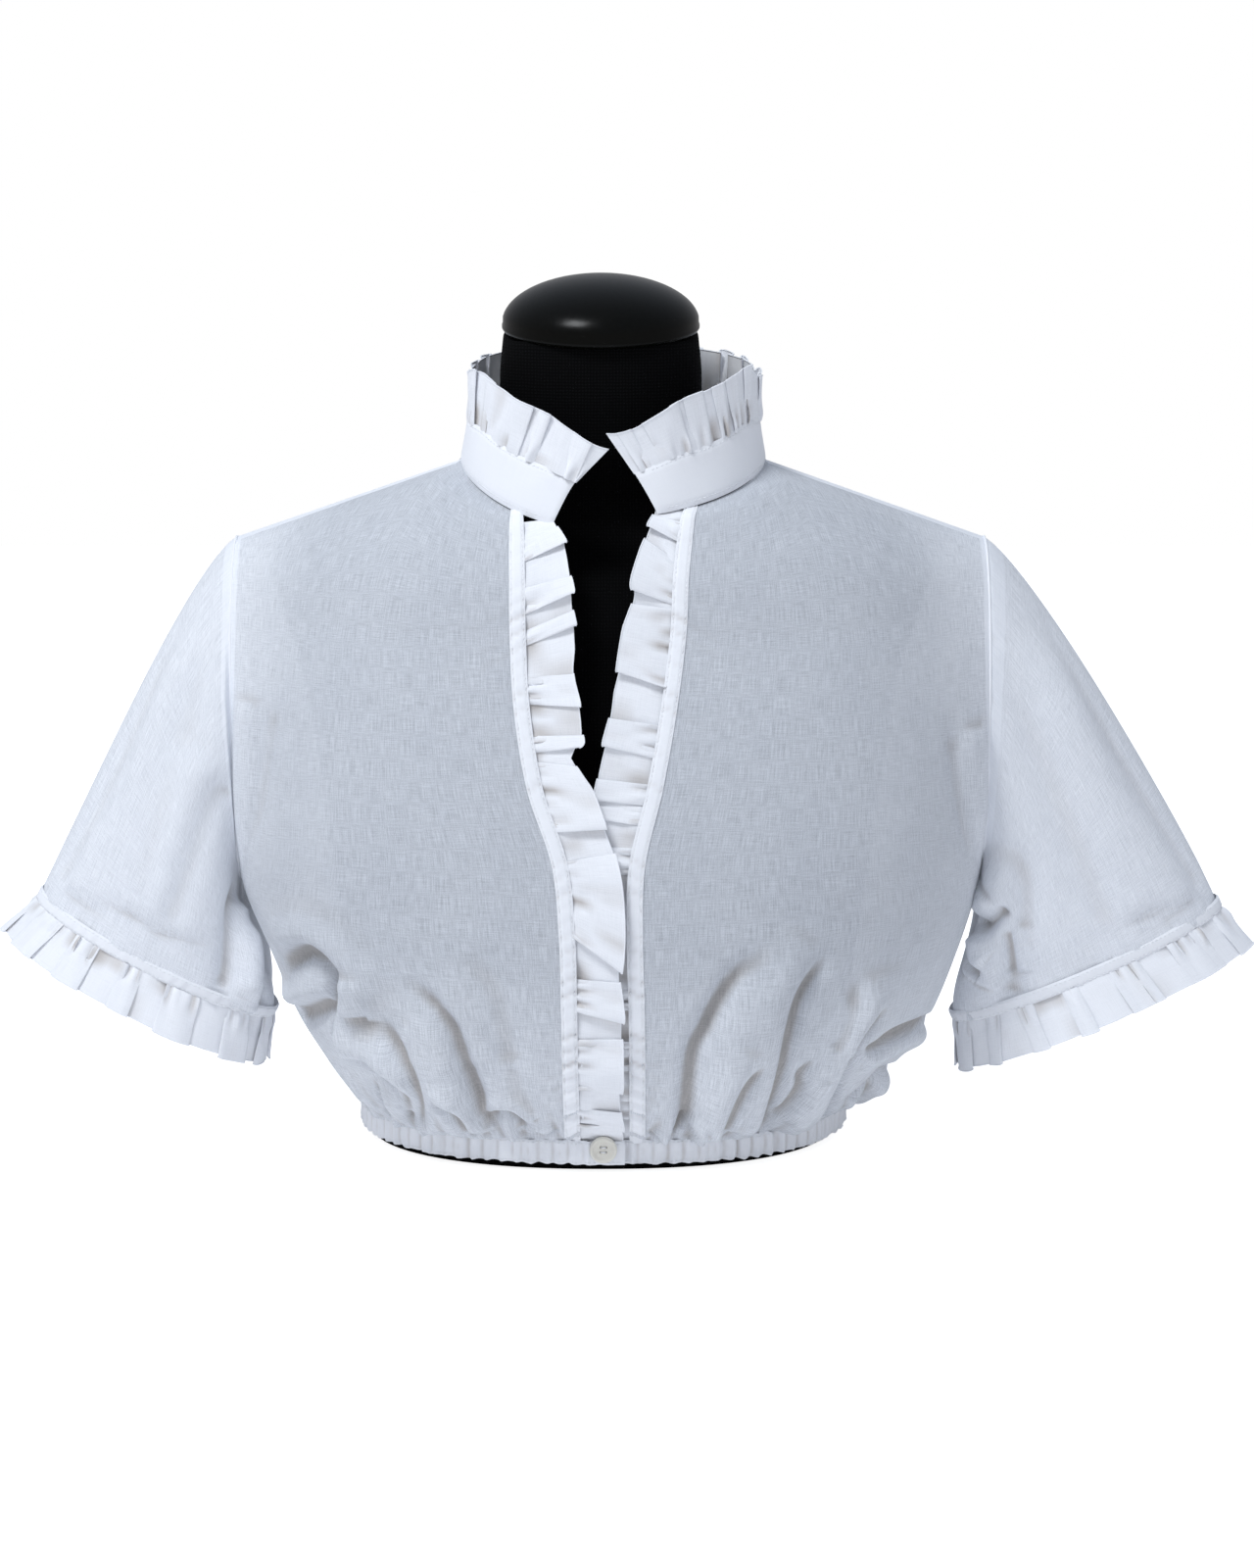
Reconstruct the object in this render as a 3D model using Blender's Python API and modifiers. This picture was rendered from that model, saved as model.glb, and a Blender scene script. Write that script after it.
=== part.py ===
"""Short dirndl blouse with a frilled stand collar, buttoned at the hem, worn by a half-bust dress form.

Metres, +Z up. The front faces -Y and the wearer's left is +X. The origin is the centre of the dress form's
flat base. Each piece of cloth is a thin wall through sections worked out from the garment's measures:
u runs across a panel from its front edge or centre to its side, and v runs up it, one step for each section.
"""

import math
from collections import namedtuple

import bmesh
import bpy
import numpy as np

# Cloth and seams
CLOTH = 0.0012
SEAM = 0.0003
LAP = CLOTH + SEAM
# Half the gap of the side seam, and the wider gap at the shoulder and sleeve seams, where walls lean together
SIDE_GAP = 0.0003
SHOULDER_GAP = 0.0006
SLEEVE_GAP = 0.0009

# Heights above the base
HEM_BOTTOM = 0.0050
CASING_HEIGHT = 0.012
HEM_TOP = HEM_BOTTOM + CASING_HEIGHT
SHOULDER_TIP_HEIGHT = 0.3260
NECK_SIDE_HEIGHT = 0.3690
NECK_EDGE_HEIGHT = 0.3460
BODY_MIDDLE = 0.170

# Armhole: an upright oval at each shoulder
ARMHOLE_X = 0.2015
ARMHOLE_SWAY = 0.005
ARMHOLE_CENTRE = 0.2325
ARMHOLE_HALF_HEIGHT = SHOULDER_TIP_HEIGHT - ARMHOLE_CENTRE
ARMHOLE_HALF_DEPTH = 0.047

# Sections of the body, hem first. Depths and widths are from the middle of the body. From the underarm up a
# section ends on the armhole, arm degrees round the oval from its top. turn is how far its end faces back.
Section = namedtuple(
    "Section", "front_height front_depth back_height back_depth side_height side_width arm turn sway"
)
BODY = [
    Section(0.0173, 0.0995, 0.0173, 0.0905, 0.0173, 0.1325, None, 90, 0.001),
    Section(0.0245, 0.1075, 0.0265, 0.0975, 0.0285, 0.1440, None, 90, 0.003),
    Section(0.0375, 0.1170, 0.0445, 0.1025, 0.0435, 0.1565, None, 90, 0.005),
    Section(0.0615, 0.1265, 0.0715, 0.1050, 0.0695, 0.1745, None, 90, 0.007),
    Section(0.0965, 0.1330, 0.1085, 0.1045, 0.1035, 0.1885, None, 90, 0.007),
    Section(0.1345, 0.1345, 0.1445, 0.1020, 0.1385, 0.1990, 180, 88, 0.006),
    Section(0.1715, 0.1315, 0.1795, 0.1000, None, None, 135, 80, 0.006),
    Section(0.2095, 0.1245, 0.2165, 0.0980, None, None, 108, 70, 0.006),
    Section(0.2495, 0.1140, 0.2565, 0.0930, None, None, 80, 60, 0.006),
    Section(0.2865, 0.1020, 0.2995, 0.0810, None, None, 55, 50, 0.006),
]
# How long a section runs straight from its middle, and how it comes in to its side, as shares of its reach
STRAIGHT_SHARE = 0.62
SIDE_SHARE = 0.45
SIDE_DEPTH_SHARE = 0.62
YOKE_STEPS = (0.36, 0.70, 1.0)
YOKE_ROUND = 1.25
NECK_SHARE = 0.36
TOP = len(BODY) - 1 + len(YOKE_STEPS)

# Collar: an oval about the neck, leaning in as it rises. rise is at the sides.
COLLAR_MIDDLE_Y = -0.012
Ring = namedtuple("Ring", "half_width half_depth side_rise front_rise right_end left_end sway")
COLLAR = [
    Ring(0.0800, 0.0680, 0.0000, 0.0000, 22.5, 16.5, 0.0065),
    Ring(0.0765, 0.0660, 0.0220, 0.0180, 14.5, 8.0, 0.0068),
    Ring(0.0750, 0.0660, 0.0465, 0.0385, 2.0, -3.0, 0.0072),
]
NECK_FRONT_DROP = {"right": 0.022, "left": 0.018}
NECK_BACK_RISE = 0.011

# Front edges: the line where each front stops and its frill begins
Edge = namedtuple("Edge", "height right left")
FRONT_EDGES = [
    Edge(0.0165, -0.0105, 0.0152),
    Edge(0.0795, -0.0115, 0.0149),
    Edge(0.1205, -0.0120, 0.0142),
    Edge(0.1515, -0.0135, 0.0133),
    Edge(0.1695, -0.0158, 0.0146),
    Edge(0.1885, -0.0215, 0.0180),
    Edge(0.2065, -0.0280, 0.0232),
    Edge(0.2265, -0.0328, 0.0277),
    Edge(0.2495, -0.0357, 0.0312),
    Edge(0.2775, -0.0375, 0.0350),
    Edge(0.3115, -0.0390, 0.0390),
    Edge(0.3525, -0.0402, 0.0440),
]
EDGE_BAND_WIDTH = 0.0075
BAND_STAND = LAP + 0.0003
BAND_FOOT = 0.60
BAND_HEAD = 0.12
FRILL_WIDTH = 0.0245
FRILL_FOOT = 0.0215
FRILL_ROWS = 4
FRILL_GAP = 3 * SEAM
PLEAT_SHARP = 0.25
FRILLS_MEET = 0.2065

# Soft folds of the fronts and the back, as lines on the panel. start and end are (u, v).
Fold = namedtuple("Fold", "start end width height")
FRONT_FOLDS = {
    "right": [
        Fold((0.42, 0.4), (0.20, 3.2), 0.075, 0.0050),
        Fold((0.66, 0.3), (0.55, 2.8), 0.070, 0.0045),
        Fold((0.86, 0.5), (0.83, 3.4), 0.060, 0.0060),
    ],
    "left": [
        Fold((0.16, 0.4), (0.30, 3.6), 0.070, 0.0045),
        Fold((0.40, 0.3), (0.58, 3.9), 0.070, 0.0060),
        Fold((0.70, 0.4), (0.86, 3.2), 0.065, 0.0050),
    ],
}
BACK_FOLDS = [
    Fold((0.10, 0.4), (0.02, 3.4), 0.070, 0.0040),
    Fold((0.38, 0.3), (0.46, 3.0), 0.070, 0.0050),
    Fold((0.72, 0.4), (0.80, 3.6), 0.065, 0.0045),
]
HEM_WAVES = 5
HEM_WAVE_HEIGHT = 0.0016

# Sleeves: the cuff is a leaning oval, given by its outer and inner ends
Cuff = namedtuple("Cuff", "outer_x outer_z inner_x inner_z half_depth")
CUFFS = {
    "right": Cuff(-0.3090, 0.1277, -0.1825, 0.0615, 0.043),
    "left": Cuff(0.3395, 0.1222, 0.1955, 0.0585, 0.038),
}
CUFF_BAND_HEIGHT = 0.0070
CUFF_BAND_STAND = LAP + 0.0006
CUFF_FRILL_LENGTH = 0.0240
CUFF_FRILL_FLARE = 0.0095
CUFF_FRILL_WAVES = 16
CUFF_FRILL_WAVE = 0.0030
SLEEVE_FOLD = 0.0035
SLEEVE_FOLDS = 3
# How far the sleeve runs out and down as it leaves the armhole, over the shoulder and under the arm, and how
# far it runs straight into the cuff
SLEEVE_HEAD_RUN = (0.080, 0.045)
UNDERARM_RUN = (0.030, 0.060)
CUFF_PULL = 0.135
UNDERARM_CUFF_PULL = 0.065
CUFF_STEP = 0.001

# Other gathers
COLLAR_FRILL_WAVES = 21
COLLAR_FRILL_WAVE = 0.0022
CASING_WAVES = 44
CASING_WAVE = 0.0007
COLLAR_LAP = 1.4 * LAP
COLLAR_LAP_COLUMNS = 3

# The casing's right end is a tab over its left end. The casing lies flat near both, and steps out at the tab.
TAB_STAND = 0.0030
TAB_END_X = 0.0125
UNDERLAP_END_X = -0.0050
TAB_POINTS = 12
TAB_LENGTH = 0.022
TAB_SLOPE = 0.012
CASING_CALM = 0.030
HEM_SQUASH = 1.6

# Pleats of the front frills: where each fold line starts on the seam and where it reaches the free edge
Pleat = namedtuple("Pleat", "root free")
RIGHT_PLEATS = [
    Pleat(0.0215, 0.0215), Pleat(0.0345, 0.0295), Pleat(0.0515, 0.0405), Pleat(0.0695, 0.0665),
    Pleat(0.0845, 0.0765), Pleat(0.0985, 0.0975), Pleat(0.1135, 0.1075), Pleat(0.1365, 0.1325),
    Pleat(0.1585, 0.1625), Pleat(0.1725, 0.1725), Pleat(0.1925, 0.1885), Pleat(0.2125, 0.2165),
    Pleat(0.2255, 0.2285), Pleat(0.2405, 0.2405), Pleat(0.2555, 0.2575), Pleat(0.2705, 0.2795),
    Pleat(0.2855, 0.2965), Pleat(0.2995, 0.3055), Pleat(0.3115, 0.3215), Pleat(0.3425, 0.3405),
]
LEFT_PLEATS = [
    Pleat(0.0215, 0.0215), Pleat(0.0415, 0.0395), Pleat(0.0665, 0.0645), Pleat(0.0915, 0.0895),
    Pleat(0.1165, 0.1165), Pleat(0.1415, 0.1425), Pleat(0.1665, 0.1665), Pleat(0.1905, 0.1925),
    Pleat(0.2155, 0.2165), Pleat(0.2245, 0.2305), Pleat(0.2435, 0.2475), Pleat(0.2605, 0.2695),
    Pleat(0.2785, 0.2875), Pleat(0.3005, 0.3105), Pleat(0.3185, 0.3325), Pleat(0.3460, 0.3440),
]
PLEAT_HEIGHT = 0.0030
FRILL_SPREAD = 0.0021

# Button
BUTTON_X = 0.0015
BUTTON_HEIGHT = 0.0140
BUTTON_RADIUS = 0.0072
BUTTON_THICKNESS = 0.0030

# Dress form: level sections of the torso and neck, base first
Slice = namedtuple("Slice", "height half_width front back middle")
FORM = [
    Slice(0.0000, 0.1270, 0.0930, 0.0850, 0.000),
    Slice(0.0265, 0.1275, 0.0940, 0.0860, 0.000),
    Slice(0.0665, 0.1330, 0.1050, 0.0880, 0.000),
    Slice(0.1065, 0.1400, 0.1170, 0.0890, 0.000),
    Slice(0.1415, 0.1450, 0.1200, 0.0890, 0.000),
    Slice(0.1765, 0.1490, 0.1140, 0.0880, 0.000),
    Slice(0.2165, 0.1550, 0.1020, 0.0860, 0.000),
    Slice(0.2565, 0.1620, 0.0890, 0.0810, 0.000),
    Slice(0.2865, 0.1720, 0.0770, 0.0710, 0.000),
    Slice(0.3065, 0.1780, 0.0620, 0.0600, 0.000),
    Slice(0.3225, 0.1730, 0.0440, 0.0480, -0.002),
    Slice(0.3345, 0.1595, 0.0335, 0.0420, -0.004),
    Slice(0.3445, 0.1325, 0.0320, 0.0390, -0.006),
    Slice(0.3545, 0.1030, 0.0330, 0.0405, -0.008),
    Slice(0.3645, 0.0710, 0.0375, 0.0440, -0.009),
    Slice(0.3765, 0.0570, 0.0460, 0.0470, -0.010),
    Slice(0.3965, 0.0540, 0.0480, 0.0480, -0.010),
    Slice(0.4165, 0.0535, 0.0480, 0.0480, -0.010),
]
FORM_SQUARENESS = 0.9
NECK_TOP = 0.4365
NECK_TOP_HALF_WIDTH = 0.0515
CAP_RADIUS = 0.0525
CAP_HEIGHT = 0.0290
CAP_TILT = 9.0
CAP_Y = -0.010

# Mesh fineness
PANEL_ACROSS = 17
PANEL_UP = (0, 0.5, 1, 1.5, 2, 2.6, 3.3, 4, 5, 6, 7, 8, 9, 10, 11, 12)
SLEEVE_AROUND = 22
SLEEVE_DOWN = 8
FORM_AROUND = 32


# Tables and curves

def column(rows, name):
    """One named column of a table, as an array."""
    return np.array([getattr(row, name) for row in rows], float)


def smooth_through(points, at):
    """A smooth curve through evenly numbered points, read at fractional numbers (Catmull-Rom)."""
    points = np.asarray(points, float)
    last = len(points) - 1
    first_guess = 2 * points[0] - points[1]
    last_guess = 2 * points[last] - points[last - 1]
    padded = np.concatenate([first_guess[None], points, last_guess[None]])
    whole = np.clip(np.floor(at).astype(int), 0, last - 1)
    part = at - whole
    part = part.reshape(part.shape + (1,) * (points.ndim - 1))
    before, here, after, beyond = (padded[whole + step] for step in range(4))
    return 0.5 * (
        2 * here + (after - before) * part
        + (2 * before - 5 * here + 4 * after - beyond) * part ** 2
        + (3 * here - before - 3 * after + beyond) * part ** 3
    )


def table_curve(rows, key, name, at):
    """A smooth reading of one column against another, increasing, column."""
    keys = column(rows, key)
    numbers = np.interp(at, keys, np.arange(len(keys)))
    return smooth_through(column(rows, name), numbers)


def side_sign(side):
    """-1 on the wearer's right, which is -X, and 1 on the left."""
    return -1.0 if side == "right" else 1.0


def edge_x(side, height):
    """Where a front ends, at a height."""
    return table_curve(FRONT_EDGES, "height", side, np.asarray(height, float))


# Neckline and armhole

def neck_oval(side, angle, step):
    """The collar's oval at an angle from the back, where step counts up the rings of the collar."""
    numbers = np.full(np.shape(angle), step, float)
    half_width = smooth_through(column(COLLAR, "half_width"), numbers)
    half_depth = smooth_through(column(COLLAR, "half_depth"), numbers)
    side_rise = smooth_through(column(COLLAR, "side_rise"), numbers)
    front_rise = smooth_through(column(COLLAR, "front_rise"), numbers)
    sway = smooth_through(column(COLLAR, "sway"), numbers)
    toward_front = (1 - np.cos(angle)) / 2
    drop = NECK_FRONT_DROP[side]
    height = NECK_SIDE_HEIGHT + drop * np.cos(angle) - (drop - NECK_BACK_RISE) * np.cos(angle) ** 2
    height = height + side_rise + (front_rise - side_rise) * toward_front ** 2
    return np.stack([
        sway + side_sign(side) * half_width * np.sin(angle),
        COLLAR_MIDDLE_Y + half_depth * np.cos(angle),
        height,
    ], -1)


def armhole(side, angle):
    """The armhole's oval, its angle from the top round by the front."""
    sign = side_sign(side)
    return np.stack([
        ARMHOLE_SWAY + sign * ARMHOLE_X + 0 * angle,
        -ARMHOLE_HALF_DEPTH * np.sin(angle),
        ARMHOLE_CENTRE + ARMHOLE_HALF_HEIGHT * np.cos(angle),
    ], -1)


# Body panels

def section_curve(side, face, section, u):
    """One section of a panel, from the front edge or the back's centre to the side, as a cubic curve."""
    sign = side_sign(side)
    forward = -1.0 if face == "front" else 1.0
    if face == "front":
        height = section.front_height
        start = np.array([float(edge_x(side, height)), -section.front_depth, height])
    else:
        height = section.back_height
        start = np.array([section.sway, section.back_depth, height])
    if section.arm is None:
        end = np.array([section.sway + sign * section.side_width, 0.0, section.side_height])
    else:
        end = armhole(side, np.array(math.radians(section.arm)))
        end[1] = abs(end[1]) * forward
    reach = abs(end[0] - start[0])
    depth = abs(start[1] - end[1])
    turn = math.radians(section.turn)
    middle_height = (start[2] + end[2]) / 2
    first = start + np.array([sign * reach * STRAIGHT_SHARE, 0.0, 0.0])
    inward = -sign * math.cos(turn) * reach * SIDE_SHARE
    onward = forward * math.sin(turn) * depth * SIDE_DEPTH_SHARE
    second = end + np.array([inward, onward, 0.0])
    first[2] = (first[2] + middle_height) / 2
    second[2] = (second[2] + middle_height) / 2
    share = np.asarray(u, float)[..., None]
    return (
        (1 - share) ** 3 * start + 3 * share * (1 - share) ** 2 * first
        + 3 * share ** 2 * (1 - share) * second + share ** 3 * end
    )


def top_curve(side, face, u):
    """The neckline, and then the shoulder seam out to the armhole."""
    u = np.asarray(u, float)
    if face == "front":
        edge = abs(float(edge_x(side, NECK_EDGE_HEIGHT)) - COLLAR[0].sway) / COLLAR[0].half_width
        start_angle = math.pi - math.asin(edge)
    else:
        start_angle = 0.0
    along_neck = np.clip(u / NECK_SHARE, 0, 1)
    along_shoulder = np.clip((u - NECK_SHARE) / (1 - NECK_SHARE), 0, 1)[..., None]
    neck = neck_oval(side, start_angle + (math.pi / 2 - start_angle) * along_neck, 0)
    tip = armhole(side, np.array(0.0))
    points = neck + along_shoulder * (tip - neck)
    points[..., 2] -= SEAM
    return points


def panel_sections(side, face, u):
    """All sections of a panel at the given u, hem first."""
    rows = [section_curve(side, face, section, u) for section in BODY]
    base = rows[-1]
    top = top_curve(side, face, u)
    arm_start = math.radians(BODY[-1].arm)
    forward = -1.0 if face == "front" else 1.0
    for step in YOKE_STEPS:
        rise = math.sin(step * math.pi / 2) ** YOKE_ROUND
        back = 1 - math.cos(step * math.pi / 2) ** YOKE_ROUND
        row = base + (top - base) * np.array([back, back, rise])
        end = armhole(side, np.array(arm_start * (1 - step)))
        end[1] = abs(end[1]) * forward
        pull = (np.asarray(u, float) ** 4)[..., None]
        rows.append(row + pull * (end - row[-1]))
    return rows


def fold_offset(folds, u, v):
    """How far folds lift the cloth: a soft ridge along each line, dying out at its ends."""
    offset = np.zeros(np.shape(u))
    for fold in folds:
        start = np.array(fold.start)
        line = np.array(fold.end) - start
        along = np.clip(((v - start[1]) * line[1]) / (line[1] ** 2), 0, 1)
        across = u - (start[0] + along * line[0])
        fade = np.sin(math.pi * np.clip((v - start[1]) / line[1], 0, 1)) ** 0.7
        offset += fold.height * fade * np.exp(-(across / fold.width) ** 2)
    return offset


def hem_wave(u, v, waves):
    """Waves that the gathered hem sends up the panel, which fade above the roll."""
    fade = np.clip(v / 0.8, 0, 1) * np.clip(1 - (v - 0.8) / 2.6, 0, 1)
    return HEM_WAVE_HEIGHT * fade * np.cos(2 * math.pi * waves * u)


def surface_normals(points, outward):
    """Unit normals of a grid of points, turned to agree with rough outward directions."""
    across = np.gradient(points, axis=1)
    up = np.gradient(points, axis=0)
    normal = np.cross(across, up)
    normal /= np.linalg.norm(normal, axis=-1, keepdims=True) + 1e-12
    agree = np.sign(np.sum(normal * outward, -1, keepdims=True))
    return normal * np.where(agree == 0, 1, agree)


def panel_points(side, face, u, v):
    """A grid of points on half a panel, v rows by u columns, with its folds."""
    u = np.asarray(u, float)
    v = np.asarray(v, float)
    points = smooth_through(np.stack(panel_sections(side, face, u)), v)
    rough = points - np.array([0.0, 0.0, BODY_MIDDLE])
    rough[..., 2] *= 0.3
    normal = surface_normals(points, rough)
    grid_v, grid_u = np.meshgrid(v, u, indexing="ij")
    folds = FRONT_FOLDS[side] if face == "front" else BACK_FOLDS
    lift = fold_offset(folds, grid_u, grid_v) + hem_wave(grid_u, grid_v, HEM_WAVES)
    hold = np.clip((1 - grid_u) / 0.08, 0, 1)
    if face == "front":
        hold = hold * np.clip(grid_u / 0.08, 0, 1)
    points = points + normal * (lift * hold)[..., None]
    forward = -1.0 if face == "front" else 1.0
    near_top = np.clip(grid_v - (TOP - 1), 0, 1)
    on_shoulder = np.clip(1 + (grid_u - NECK_SHARE) / 0.04, 0, 1)
    points[..., 1] += forward * (SIDE_GAP * grid_u ** 4 + SHOULDER_GAP * near_top * on_shoulder)
    return points, normal


# Sleeves

def cuff_oval(side, angle, down, flare):
    """The cuff's oval at an angle from its outer end round by the front, moved down the sleeve and flared."""
    cuff = CUFFS[side]
    outer = np.array([cuff.outer_x, 0.0, cuff.outer_z])
    inner = np.array([cuff.inner_x, 0.0, cuff.inner_z])
    middle = (outer + inner) / 2
    half = (outer - inner) / 2
    half_length = np.linalg.norm(half)
    toward_outer = half / half_length
    along_arm = np.array([toward_outer[2], 0.0, -toward_outer[0]]) * side_sign(side)
    cosine = np.cos(angle)[..., None]
    sine = np.sin(angle)[..., None]
    down = np.asarray(down)[..., None]
    flare = np.asarray(flare)[..., None]
    return (
        middle + along_arm * down + toward_outer * (half_length + flare) * cosine
        + np.array([0.0, -1.0, 0.0]) * (cuff.half_depth + flare) * sine
    )


def sleeve_points(side, angle, t):
    """A grid on a sleeve: t runs from the armhole to the cuff, along curves that leave both squarely."""
    sign = side_sign(side)
    start = armhole(side, angle)
    start[:, 0] += sign * (SEAM + SLEEVE_GAP * ((1 + np.cos(angle)) / 2) ** 2)
    end = cuff_oval(side, angle, 0.0, 0.0)
    further = cuff_oval(side, angle, CUFF_STEP, 0.0)
    low = ((1 - np.cos(angle)) / 2)[:, None]
    over_shoulder = np.array([sign * SLEEVE_HEAD_RUN[0], 0.0, -SLEEVE_HEAD_RUN[1]])
    under_arm = np.array([sign * UNDERARM_RUN[0], 0.0, -UNDERARM_RUN[1]])
    leave = over_shoulder * (1 - low) + under_arm * low
    pull = CUFF_PULL * (1 - low) + UNDERARM_CUFF_PULL * low
    arrive = (further - end) * pull / CUFF_STEP
    t = np.asarray(t, float)[:, None, None]
    points = (
        (2 * t ** 3 - 3 * t ** 2 + 1) * start + (t ** 3 - 2 * t ** 2 + t) * leave
        + (3 * t ** 2 - 2 * t ** 3) * end + (t ** 3 - t ** 2) * arrive
    )
    fade = np.sin(math.pi * t[..., 0]) ** 1.5
    ripple = np.cos(SLEEVE_FOLDS * angle + 0.6) * (1 - low[:, 0])
    points[..., 1] += -SLEEVE_FOLD * fade * ripple * np.sin(angle)
    points[..., 0] += 0.4 * sign * SLEEVE_FOLD * fade * ripple * np.abs(np.cos(angle))
    return points


def cuff_points(side, angle, down, outward):
    """A grid on the cuff: rows at distances down from the sleeve's end, each pushed outward."""
    rows = [cuff_oval(side, angle, step, push) for step, push in zip(down, outward)]
    return np.stack(rows)


# Frills

def pleat_wave(pleats, height, across, sharp):
    """Knife pleats: from each fold line the cloth climbs to the next and then drops, from 0 to 1."""
    roots = column(pleats, "root")
    frees = column(pleats, "free")
    lines = roots[:, None, None] + (frees - roots)[:, None, None] * across[None]
    below = np.sum(lines <= height[None], axis=0) - 1
    below = np.clip(below, 0, len(pleats) - 2)
    low = np.take_along_axis(lines, below[None], 0)[0]
    high = np.take_along_axis(lines, below[None] + 1, 0)[0]
    part = np.clip((height - low) / (high - low), 0, 1)
    return np.where(part < 1 - sharp, part / (1 - sharp), (1 - part) / sharp)


def placket_frill_points(side, pleats, steps):
    """The frill sewn inside a front's edge: rows across its width, columns up the front."""
    sign = side_sign(side)
    levels = []
    for low, high in zip(pleats[:-1], pleats[1:]):
        levels += [low.root + (high.root - low.root) * step for step in steps]
    levels.append(pleats[-1].root)
    edge = panel_points(side, "front", np.array([0.0, 0.02]), np.array(PANEL_UP, float))[0][:, 0]
    across, root = np.meshgrid(np.linspace(0, 1, FRILL_ROWS), np.array(levels), indexing="ij")
    slope = np.interp(root, column(pleats, "root"), column(pleats, "free") - column(pleats, "root"))
    height = np.maximum(root + slope * across, FRILL_FOOT)
    x = np.interp(height, edge[:, 2], edge[:, 0]) - sign * (FRILL_GAP + across * FRILL_WIDTH)
    from_front = np.arcsin(np.clip(sign * (x - COLLAR[0].sway) / COLLAR[0].half_width, -1, 1))
    height = np.minimum(height, neck_oval(side, math.pi - from_front, 0)[..., 2] - LAP)
    wave = pleat_wave(pleats, height, across, PLEAT_SHARP)
    grown = np.clip((height - FRILL_FOOT) / FRILL_WIDTH, 0, 1)
    lower = np.clip((FRILLS_MEET + 0.02 - height) / 0.04, 0, 1)
    outward = across * PLEAT_HEIGHT * wave * grown
    if side == "right":
        outward = outward + across * FRILL_SPREAD
    else:
        outward = outward - across * (FRILL_SPREAD + PLEAT_HEIGHT * grown) * lower
    y = np.interp(height, edge[:, 2], edge[:, 1]) - outward
    return np.stack([x, y, height], -1)


# Mesh building

def material(name, colour, roughness, metallic=0.0):
    """A plain surface of one colour."""
    made = bpy.data.materials.new(name)
    made.use_nodes = True
    shader = made.node_tree.nodes["Principled BSDF"]
    shader.inputs["Base Color"].default_value = (*colour, 1.0)
    shader.inputs["Roughness"].default_value = roughness
    shader.inputs["Metallic"].default_value = metallic
    return made


def grid_mesh(name, points, closed, flip):
    """A sheet of four-sided faces over a grid of points. closed joins the last column to the first."""
    rows, columns = points.shape[:2]
    last = columns if closed else columns - 1
    faces = []
    for row in range(rows - 1):
        for col in range(last):
            here = row * columns + col
            beside = row * columns + (col + 1) % columns
            face = [here, beside, beside + columns, here + columns]
            faces.append(face[::-1] if flip else face)
    mesh = bpy.data.meshes.new(name)
    mesh.from_pydata(points.reshape(-1, 3).tolist(), [], faces)
    mesh.update()
    mesh.shade_smooth()
    return mesh


def place(mesh, surface, collection):
    """Puts a mesh in the scene as a named object with its material."""
    made = bpy.data.objects.new(mesh.name, mesh)
    mesh.materials.append(surface)
    collection.objects.link(made)
    return made


def cloth(name, points, surface, collection, closed=False, flip=False, thickness=CLOTH, offset=-1.0):
    """A wall of cloth: a sheet, and Solidify towards the body."""
    made = place(grid_mesh(name, points, closed, flip), surface, collection)
    wall = made.modifiers.new("wall", "SOLIDIFY")
    wall.thickness = thickness
    wall.offset = offset
    return made


def build_front(side, surface, collection):
    """One front, from the gathered hem to the neckline and shoulder."""
    u = np.linspace(0, 1, PANEL_ACROSS)
    points, _ = panel_points(side, "front", u, np.array(PANEL_UP, float))
    cloth("front_" + side, points, surface, collection, flip=side == "right")


def build_back(surface, collection):
    """The back, in one piece between the side seams."""
    u = np.linspace(0, 1, PANEL_ACROSS - 3)
    right, _ = panel_points("right", "back", u, np.array(PANEL_UP, float))
    left, _ = panel_points("left", "back", u, np.array(PANEL_UP, float))
    points = np.concatenate([right[:, :0:-1], (right[:, :1] + left[:, :1]) / 2, left[:, 1:]], axis=1)
    cloth("back", points, surface, collection, flip=True)


def build_edge_band(side, surface, collection):
    """The stitched band that lies on a front's edge and holds the frill."""
    u = np.linspace(0, 1, 60)
    points, normal = panel_points(side, "front", u, np.array(PANEL_UP, float))
    rows = []
    for row, out in zip(points, normal):
        run = np.concatenate([[0.0], np.cumsum(np.linalg.norm(np.diff(row, axis=0), axis=1))])
        at = (0.0, EDGE_BAND_WIDTH)
        rows.append([[np.interp(a, run, row[:, k] + out[:, k] * BAND_STAND) for k in range(3)] for a in at])
    rows = np.array(rows)
    rows[0] += BAND_FOOT * (rows[1] - rows[0])
    rows[-1] += BAND_HEAD * (rows[-2] - rows[-1])
    cloth("edge_band_" + side, rows, surface, collection, flip=side == "right")


def build_placket_frill(side, pleats, surface, collection):
    """The pleated frill along a front's edge."""
    points = placket_frill_points(side, pleats, (0.0, 0.30, 0.60, 0.80))
    points = points[::-1] if side == "right" else points
    cloth("placket_frill_" + side, points, surface, collection)


def build_sleeve(side, surface, collection):
    """A short wide sleeve, a tube from the armhole to the cuff."""
    angle = np.linspace(0, 2 * math.pi, SLEEVE_AROUND, endpoint=False)
    points = sleeve_points(side, angle, np.linspace(0, 1, SLEEVE_DOWN))
    cloth("sleeve_" + side, points, surface, collection, closed=True, flip=side == "right")


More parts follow.
